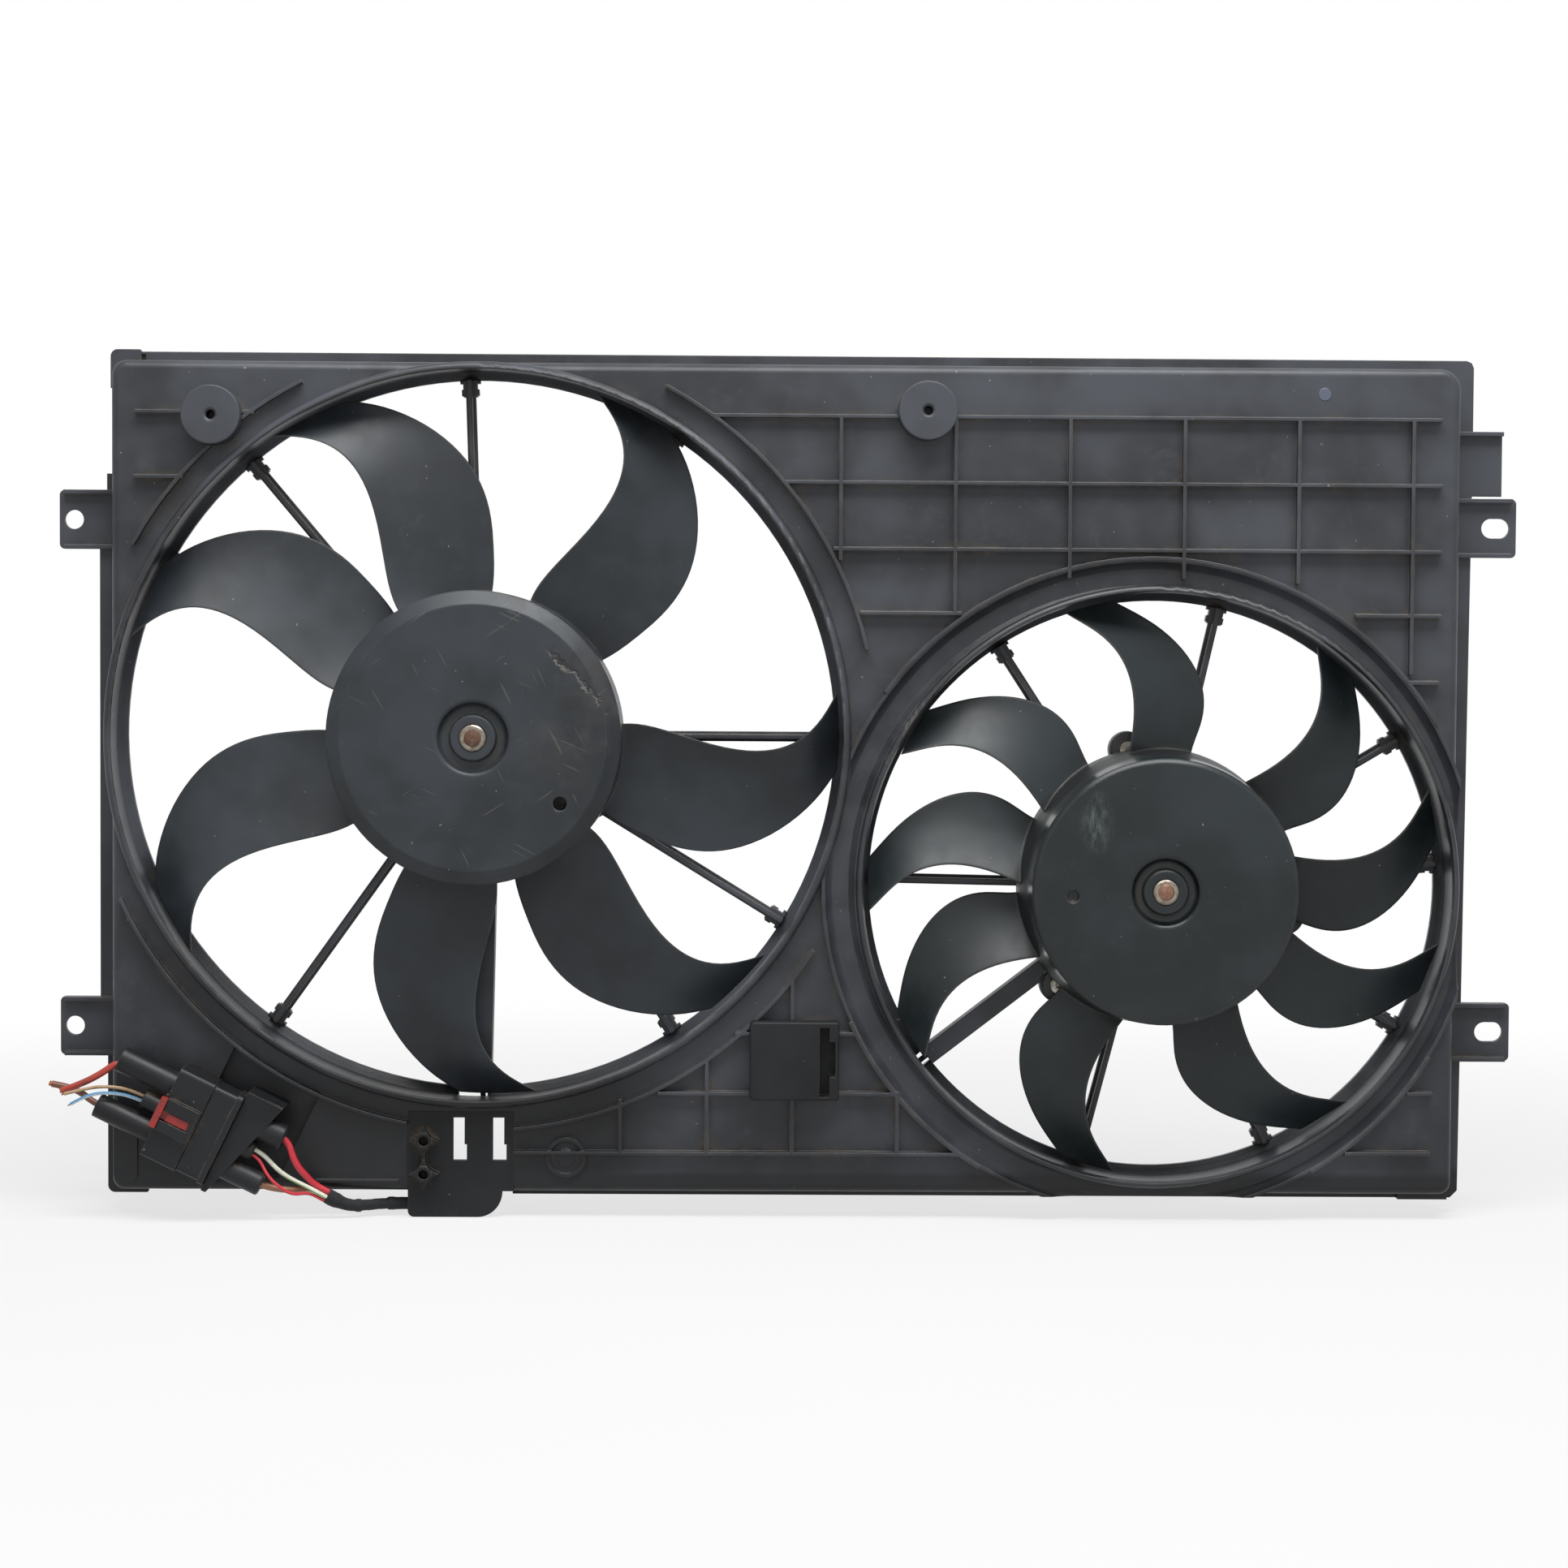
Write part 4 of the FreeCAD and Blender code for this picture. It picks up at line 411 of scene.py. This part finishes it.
# Moulded polyester of the lock slide: clear red, browned where dust sits
paint(pressed_or_moulded("polyester_moulded", "#A02828", "#7A2C25", rough=0.4,
                         spot_mm=3.0, grain_mm=0.5, grain_deep_mm=0.015), "plug_lock")
# Moulded silicone of the wire seals: dull black, no highlights
paint(pressed_or_moulded("silicone_moulded", "#18191A", "#222324", rough=0.7,
                         spot_mm=6.0, grain_mm=0.5, grain_deep_mm=0.02),
      "plug_seals", "socket_seals")
# Phenolic card of the brush holders, punched: red-brown with a paper grain
paint(pressed_or_moulded("phenolic_card_punched", "#4A2A17", "#5C3820", rough=0.6,
                         spot_mm=5.0, grain_mm=0.8, grain_deep_mm=0.04),
      "big_brush_holder", "small_brush_holder")
# Carbon brushes, pressed and sintered: dead black with a faint grey bloom
paint(pressed_or_moulded("carbon_pressed", "#1B1B1C", "#2A2A2B", rough=0.6,
                         spot_mm=4.0, grain_mm=0.4, grain_deep_mm=0.03),
      "big_brushes", "small_brushes")
# Ferrite magnets, pressed and fired: slate grey, like unglazed tile
paint(pressed_or_moulded("ferrite_fired", "#2A2A2D", "#38383B", rough=0.65,
                         spot_mm=7.0, grain_mm=0.6, grain_deep_mm=0.05),
      "big_motor_magnets", "small_motor_magnets")


def worked_metal(name, metal, stain, rough, stained, shine=1.0):
    """Metal part: fine tool lines, and stain or rust in patches that take the shine off.

    shine is how metallic the bare places are, and stained, from 0 to 1, how far the patches spread.
    """
    look = blank(name)
    place = add(look, "ShaderNodeTexCoord", out="Object")
    spots = add(look, "ShaderNodeTexNoise", {
        "Vector": place, "Scale": PER_MM / 3.5, "Detail": 4.0, "Roughness": 0.7})
    patches = add(look, "ShaderNodeMapRange", {
        "Value": spots, "From Min": 0.62 - stained * 0.4, "From Max": 0.8 - stained * 0.3},
        interpolation_type="SMOOTHSTEP")
    base = add(look, "ShaderNodeMix", {0: patches, 6: metal, 7: stain}, out=2, data_type="RGBA")
    bare = add(look, "ShaderNodeMapRange", {"Value": patches, "To Min": shine, "To Max": shine * 0.2})
    dull = add(look, "ShaderNodeMapRange", {"Value": patches, "To Min": rough, "To Max": rough + 0.3})
    # Tool lines are about 0.1 mm apart, drawn at 0.5 mm
    lines = add(look, "ShaderNodeTexNoise", {
        "Vector": place, "Scale": PER_MM / 0.5, "Detail": 2.0, "Roughness": 0.6})
    normal = add(look, "ShaderNodeBump", {"Height": lines, "Strength": 1.0, "Distance": 0.01 * MM})
    shader = add(look, "ShaderNodeBsdfPrincipled", {
        "Base Color": base, "Metallic": bare, "Roughness": dull, "Normal": normal})
    add(look, "ShaderNodeOutputMaterial", {"Surface": shader})
    return look


# Deep-drawn steel cans under black paint, rusting at the edges: soft highlights, no metal shine
paint(worked_metal("steel_drawn_painted", "#1B1C1D", "#3A2B21", rough=0.45, stained=0.25, shine=0.0),
      "big_motor_case", "small_motor_case", "big_motor_cover", "small_motor_cover")
# Zinc-plated screws, cold headed: light grey, dulled white by corrosion
paint(worked_metal("steel_headed_zinc_plated", "#A9A79E", "#7C7566", rough=0.35, stained=0.5),
      "big_motor_screws", "small_motor_screws")
# Ground shaft ends: the large one rusted matte brown, the small one still polished under its stain
paint(worked_metal("steel_ground_rusted", "#7A6358", "#5A4032", rough=0.5, stained=0.9), "big_shaft")
paint(worked_metal("steel_ground_stained", "#8A6A58", "#6B4A3A", rough=0.22, stained=0.5),
      "small_shaft")
# Spring steel clips, pressed and plated: pale warm grey, yellowed in patches
paint(worked_metal("spring_steel_pressed", "#8F887E", "#6E6253", rough=0.38, stained=0.5),
      "big_shaft_clip", "small_shaft_clip")
# Sintered bronze bearings: grainy dull gold
paint(worked_metal("bronze_sintered", "#8F6B3A", "#5E4427", rough=0.5, stained=0.5),
      "big_motor_bearings", "small_motor_bearings")
# Tin-plated brass terminals, stamped: soft silver
paint(worked_metal("brass_stamped_tinned", "#B9B6AC", "#8E8A7E", rough=0.3, stained=0.4),
      "plug_terminals", "socket_terminals")
# Copper commutator bars, turned: bright orange under a dark brush track
paint(worked_metal("copper_turned", "#A9623E", "#5B3523", rough=0.35, stained=0.5),
      "big_commutator", "small_commutator")
# Armature: stacked steel sheets and enamelled copper wire, wound
paint(worked_metal("core_stacked_and_wound", "#7D4E33", "#4A4645", rough=0.45, stained=0.5),
      "big_armature", "small_armature")
COPPER = worked_metal("copper_drawn_stranded", "#B87349", "#7A4B33", rough=0.4, stained=0.3)


# Wires, their stripes and the taped sleeve
def extruded_pvc(name, colour, grime, stripe=None, facing=(0.0, -0.8, 0.6)):
    """Extruded PVC wire cover: a soft line of light along it, finger grime, perhaps a stripe.

    The stripe runs along the side that faces the direction given.
    """
    look = blank(name)
    coordinates = add(look, "ShaderNodeTexCoord", out="Object")
    spots = add(look, "ShaderNodeTexNoise", {
        "Vector": coordinates, "Scale": PER_MM / 5, "Detail": 4.0, "Roughness": 0.7})
    share = add(look, "ShaderNodeMapRange", {
        "Value": spots, "From Min": 0.45, "From Max": 0.75}, interpolation_type="SMOOTHSTEP")
    base = add(look, "ShaderNodeMix", {0: share, 6: colour, 7: grime}, out=2, data_type="RGBA")
    if stripe:
        outward = add(look, "ShaderNodeTexCoord", out="Normal")
        side = add(look, "ShaderNodeVectorMath", {0: outward, 1: Vector(facing).normalized()},
                   out="Value", operation="DOT_PRODUCT")
        line = add(look, "ShaderNodeMapRange", {
            "Value": side, "From Min": 0.70, "From Max": 0.78}, interpolation_type="SMOOTHSTEP")
        base = add(look, "ShaderNodeMix", {0: line, 6: base, 7: stripe}, out=2, data_type="RGBA")
    ripple = add(look, "ShaderNodeTexNoise", {"Vector": coordinates, "Scale": PER_MM / 0.7})
    normal = add(look, "ShaderNodeBump", {"Height": ripple, "Strength": 1.0, "Distance": 0.015 * MM})
    shader = add(look, "ShaderNodeBsdfPrincipled", {
        "Base Color": base, "Roughness": 0.4, "Normal": normal, "IOR": 1.53})
    add(look, "ShaderNodeOutputMaterial", {"Surface": shader})
    return look


paint(extruded_pvc("pvc_extruded_bright_red", "#C42B38", "#A82A33"),
      "socket_wire_red", "socket_wire_thin_red")
paint(extruded_pvc("pvc_extruded_tan", "#8A5E45", "#A87757"), "socket_wire_tan")
paint(extruded_pvc("pvc_extruded_white", "#DADDCF", "#C2C7B2", "#6E9E4C", (0.3, -0.5, -0.8)),
      "socket_wire_white")


def woven_tape(name):
    """Black cotton harness tape, woven: dull and fuzzy, its threads 0.5 mm apart."""
    look = blank(name)
    place = add(look, "ShaderNodeTexCoord", out="Object")
    # A wave texture repeats every 2 pi / (20 x scale), so this is one wave to 0.5 mm
    threads = add(look, "ShaderNodeTexWave", {
        "Vector": place, "Scale": 2 * math.pi / 20 * PER_MM / 0.5, "Distortion": 1.5, "Detail": 1.0},
        out="Fac", bands_direction="DIAGONAL")
    fuzz = add(look, "ShaderNodeTexNoise", {
        "Vector": place, "Scale": PER_MM / 1.2, "Detail": 3.0, "Roughness": 0.7})
    share = add(look, "ShaderNodeMapRange", {"Value": fuzz, "From Min": 0.4, "From Max": 0.7})
    base = add(look, "ShaderNodeMix", {0: share, 6: "#151618", 7: "#26282B"}, out=2, data_type="RGBA")
    normal = add(look, "ShaderNodeBump", {"Height": threads, "Strength": 1.0, "Distance": 0.05 * MM})
    shader = add(look, "ShaderNodeBsdfPrincipled", {
        "Base Color": base, "Roughness": 0.75, "Normal": normal, "Sheen Weight": 0.15,
        "Specular IOR Level": 0.3})
    add(look, "ShaderNodeOutputMaterial", {"Surface": shader})
    return look


TAPE = woven_tape("cotton_tape_woven")
paint(TAPE, "big_motor_lead", "small_motor_lead")


def smooth_line(name, points):
    """Curve of one smooth open line through the air near its control points, in metres."""
    curve = bpy.data.curves.new(name, "CURVE")
    curve.dimensions = "3D"
    line = curve.splines.new("NURBS")
    line.points.add(len(points) - 1)
    for knot, point in zip(line.points, points):
        knot.co = tuple(point) + (1.0,)
    line.order_u = 3
    line.use_endpoint_u = True
    line.resolution_u = 12
    return curve


def points_along(curve):
    """Points of a curve's own smooth line, end to end."""
    bare = curve.copy()
    bare.bevel_depth = 0.0
    holder = bpy.data.objects.new("line_holder", bare)
    bpy.context.scene.collection.objects.link(holder)
    bpy.context.view_layer.update()
    mesh = bpy.data.meshes.new_from_object(holder.evaluated_get(bpy.context.evaluated_depsgraph_get()))
    points = [v.co.copy() for v in mesh.vertices]
    bpy.data.objects.remove(holder)
    return points


def mesh_piece(name, drawn, look, body):
    """Turn drawn geometry into a smooth-shaded piece that rides on a body."""
    mesh = bpy.data.meshes.new(name)
    drawn.to_mesh(mesh)
    drawn.free()
    for face in mesh.polygons:
        face.use_smooth = True
    mesh.materials.append(look)
    piece = bpy.data.objects.new(name, mesh)
    bpy.context.scene.collection.objects.link(piece)
    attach(piece, body)
    return piece


def cut_wire(name, node, points, diameter, look):
    """One of the plug's wires, on the route of its CAD solid."""
    curve = smooth_line(name, points)
    curve.bevel_depth = diameter / 2
    curve.bevel_resolution = 6
    curve.use_fill_caps = True
    curve.materials.append(look)
    piece = bpy.data.objects.new(name, curve)
    bpy.context.scene.collection.objects.link(piece)
    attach(piece, "plug")
    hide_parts(node)
    return piece


# Wires thicker than this get the outer ring of strands; where strands start inside the cover, and
# how long they are, all in metres
THICK_WIRE = 0.002
STRAND_INSIDE = 0.0006
STRAND_SHORTEST = 0.0012
STRAND_LONGEST = 0.0022


def strands(name, wire, diameter):
    """Copper strands that stand a little out of a wire's cut end."""
    points = points_along(wire.data)
    end, run = points[-1], (points[-1] - points[-2]).normalized()
    side = run.cross(Vector((0, 0, 1))).normalized()
    up = side.cross(run)
    drawn = bmesh.new()
    dice = random.Random(len(name))
    # One strand in the middle and six round it, with eleven more outside them in a thick wire
    rings = [(0.0, 1), (diameter * 0.17, 6)] + ([(diameter * 0.3, 11)] if diameter > THICK_WIRE else [])
    strand = diameter * 0.075
    for radius, count in rings:
        for k in range(count):
            turn = 2 * math.pi * k / count + dice.uniform(-0.1, 0.1)
            root = end + (side * math.cos(turn) + up * math.sin(turn)) * radius
            root -= run * STRAND_INSIDE
            lean = run + side * dice.uniform(-0.12, 0.12) + up * dice.uniform(-0.12, 0.12)
            lean.normalize()
            tip = root + lean * dice.uniform(STRAND_SHORTEST, STRAND_LONGEST)
            spin = lean.to_track_quat("Z", "Y").to_matrix().to_4x4()
            bmesh.ops.create_cone(drawn, cap_ends=True, segments=8, radius1=strand,
                                  radius2=strand * 0.8, depth=(tip - root).length,
                                  matrix=Matrix.Translation((root + tip) / 2) @ spin)
    return mesh_piece(name, drawn, COPPER, "plug")


# Tint, diameter, cover, length and route of each cut wire, in metres, as in the part's source
CUT_WIRES = (
    ("red", 0.0032, extruded_pvc("pvc_extruded_red", "#A23528", "#7E3329"), 0.0389,
     ((-0.3089, -0.007, -0.1345), (-0.3173, -0.0074, -0.1316), (-0.326, -0.0086, -0.138),
      (-0.3355, -0.0092, -0.1428), (-0.3442, -0.009, -0.1459))),
    ("brown", 0.0032, extruded_pvc("pvc_extruded_brown", "#6B3F2C", "#86553C"), 0.0317,
     ((-0.3215, -0.007, -0.1559), (-0.3296, -0.0066, -0.152), (-0.336, -0.005, -0.1472),
      (-0.3428, -0.0042, -0.1446), (-0.35, -0.004, -0.1433))),
    ("beige", 0.0016, extruded_pvc("pvc_extruded_beige", "#A88B6B", "#8E6A4C"), 0.0426,
     ((-0.3019, -0.007, -0.1503), (-0.3096, -0.0078, -0.1465), (-0.318, -0.01, -0.1439),
      (-0.3273, -0.0126, -0.1435), (-0.3358, -0.014, -0.1452), (-0.3422, -0.0144, -0.1468))),
    ("blue", 0.0016, extruded_pvc("pvc_extruded_white_blue", "#BFCCD6", "#A9B9C6", "#3E7FA8"), 0.0393,
     ((-0.303, -0.007, -0.1526), (-0.3108, -0.0082, -0.1489), (-0.3186, -0.0114, -0.1467),
      (-0.3264, -0.0142, -0.1463), (-0.3332, -0.016, -0.1482), (-0.3388, -0.0168, -0.1514))),
)
for tint, across, cover, long, route in CUT_WIRES:
    flex = cut_wire("cut_wire_" + tint, "plug_wire_" + tint, route, across, cover)
    frayed = strands("strands_" + tint, flex, across)


# Taped sleeve, on the route of its CAD solid, in metres
SLEEVE_ROUTE = (
    (-0.2200, 0.0005, -0.1970), (-0.2115, 0.0022, -0.2020), (-0.2030, 0.0064, -0.2026),
    (-0.1920, 0.0114, -0.2022), (-0.1775, 0.0144, -0.2028), (-0.1645, 0.0182, -0.2010),
    (-0.1540, 0.0214, -0.1952), (-0.1470, 0.0234, -0.1885))
# Distance along the sleeve and its radius there, in mm: bound where the wires go in and at two
# places farther on
SLEEVE_RADII = ((0.0, 3.5), (1.0, 3.7), (5.0, 3.65), (8.5, 3.0), (15.0, 2.75), (15.8, 3.1),
                (17.6, 3.1), (18.4, 2.6), (31.0, 2.55), (31.8, 3.1), (34.0, 3.15), (35.0, 2.95),
                (42.0, 2.9), (90.0, 2.8))
# Each turn of tape moves on 6.5 mm and is 0.22 mm thick; its edge rises within 0.06 of a turn and
# the turn then sinks by 0.55 of the thickness
TAPE_PITCH = 6.5
TAPE_T = 0.22
TAPE_RISE = 0.06
TAPE_SINK = 0.55
SLEEVE_SIDES = 36
SLEEVE_STEP = 0.0004


def taped_sleeve():
    """Tube along the sleeve's way with the step of each turn of tape standing on it."""
    points = points_along(smooth_line("sleeve_line", SLEEVE_ROUTE))
    walked = [0.0]
    for here, there in zip(points, points[1:]):
        walked.append(walked[-1] + (there - here).length)
    drawn = bmesh.new()
    rings, upward = [], Vector((0.0, -1.0, 0.0))
    count = int(walked[-1] / SLEEVE_STEP)
    for k in range(count + 1):
        s = walked[-1] * k / count
        j = max(i for i in range(len(points) - 1) if walked[i] <= s + 1e-9)
        run = points[j + 1] - points[j]
        middle = points[j] + run * ((s - walked[j]) / run.length)
        run.normalize()
        upward = (upward - run * upward.dot(run)).normalized()
        across = run.cross(upward)
        mm = s / MM
        row = max(i for i in range(len(SLEEVE_RADII) - 1) if SLEEVE_RADII[i][0] <= mm)
        (s0, r0), (s1, r1) = SLEEVE_RADII[row:row + 2]
        radius = r0 + (r1 - r0) * (mm - s0) / (s1 - s0)
        ring = []
        for n in range(SLEEVE_SIDES):
            turn = 2 * math.pi * n / SLEEVE_SIDES
            lap = (mm / TAPE_PITCH - turn / (2 * math.pi)) % 1.0
            rise = min(lap / TAPE_RISE, 1.0) * (1.0 - TAPE_SINK * lap) - 0.5
            reach = (radius + TAPE_T * rise) * MM
            outward = upward * math.cos(turn) + across * math.sin(turn)
            ring.append(drawn.verts.new(middle + outward * reach))
        rings.append(ring)
    for near, far in zip(rings, rings[1:]):
        for n in range(SLEEVE_SIDES):
            after = (n + 1) % SLEEVE_SIDES
            drawn.faces.new((near[n], near[after], far[after], far[n]))
    drawn.faces.new(rings[0][::-1])
    drawn.faces.new(rings[-1])
    bmesh.ops.recalc_face_normals(drawn, faces=drawn.faces)
    piece = mesh_piece("taped_sleeve", drawn, TAPE, "shroud")
    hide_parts("harness_sleeve")


taped_sleeve()


# Light, floor and background
def lamp(name, size, watts, at, to):
    """Soft box: width and height, power, place and the point it faces, in metres and watts."""
    light = bpy.data.lights.new(name, "AREA")
    light.shape = "RECTANGLE"
    light.size, light.size_y = size
    light.energy = watts
    holder = bpy.data.objects.new(name, light)
    bpy.context.scene.collection.objects.link(holder)
    holder.location = at
    holder.rotation_euler = (Vector(to) - Vector(at)).to_track_quat("-Z", "Y").to_euler()


# A large soft box overhead lights the top edges and the blades that face up; the fill is weak
lamp("overhead_softbox", (1.3, 0.7), 30.0, (0.1, -0.6, 1.2), (0.0, 0.0, 0.0))
lamp("front_fill", (1.8, 1.4), 4.0, (0.3, -2.3, 0.7), (0.0, 0.0, 0.0))


def looked_at(look):
    """1 for rays of the eye, of a reflection or through glass, 0 for those that carry light."""
    camera = add(look, "ShaderNodeLightPath", out="Is Camera Ray")
    mirror = add(look, "ShaderNodeLightPath", out="Is Glossy Ray")
    clear = add(look, "ShaderNodeLightPath", out="Is Transmission Ray")
    seen = add(look, "ShaderNodeMath", {0: camera, 1: mirror}, operation="MAXIMUM")
    return add(look, "ShaderNodeMath", {0: seen, 1: clear}, operation="MAXIMUM")


def studio_air():
    """White all round to the eye and in reflections, and dim as a light on the object."""
    world = bpy.data.worlds.new("studio_air")
    bpy.context.scene.world = world
    world.use_nodes = True
    world.node_tree.nodes.clear()
    seen = looked_at(world)
    power = add(world, "ShaderNodeMapRange", {"Value": seen, "To Min": 0.2, "To Max": 1.0})
    air = add(world, "ShaderNodeBackground", {"Color": "#FFFFFF", "Strength": power})
    add(world, "ShaderNodeOutputWorld", {"Surface": air})


studio_air()


# Half the floor's side and its gap under the object, in metres
FLOOR_HALF = 30.0
FLOOR_GAP = 0.0002


def pale_floor():
    """Matte pale sheet that keeps the object's shadow and runs out into the white."""
    look = blank("paper_sheet")
    place = add(look, "ShaderNodeTexCoord", out="Object")
    tone = add(look, "ShaderNodeTexNoise", {"Vector": place, "Scale": PER_MM / 400, "Detail": 2.0})
    base = add(look, "ShaderNodeMix", {0: tone, 6: "#C9C9C9", 7: "#D2D2D2"}, out=2, data_type="RGBA")
    paper = add(look, "ShaderNodeBsdfPrincipled", {"Base Color": base, "Roughness": 0.9})
    seen = looked_at(look)
    # Round the object the eye gets enough lit paper to see the shadow, and 1.1 m out plain white
    away = add(look, "ShaderNodeVectorMath", {0: place}, out="Value", operation="LENGTH")
    white = add(look, "ShaderNodeMapRange", {
        "Value": away, "From Min": 0.42, "From Max": 1.1, "To Min": 0.72, "To Max": 1.0},
        interpolation_type="SMOOTHSTEP")
    share = add(look, "ShaderNodeMath", {0: seen, 1: white}, operation="MULTIPLY")
    glow = add(look, "ShaderNodeEmission", {"Color": "#FFFFFF", "Strength": 1.0})
    mixed = add(look, "ShaderNodeMixShader", {0: share, 1: paper, 2: glow})
    add(look, "ShaderNodeOutputMaterial", {"Surface": mixed})
    mesh = bpy.data.meshes.new("studio_floor")
    low = cad_box[0].z - FLOOR_GAP
    corners = [(x * FLOOR_HALF, y * FLOOR_HALF, low) for x, y in ((-1, -1), (1, -1), (1, 1), (-1, 1))]
    mesh.from_pydata(corners, [], [(0, 1, 2, 3)])
    mesh.materials.append(look)
    floor = bpy.data.objects.new("studio_floor", mesh)
    bpy.context.scene.collection.objects.link(floor)


pale_floor()
bpy.context.scene.view_settings.view_transform = "Standard"
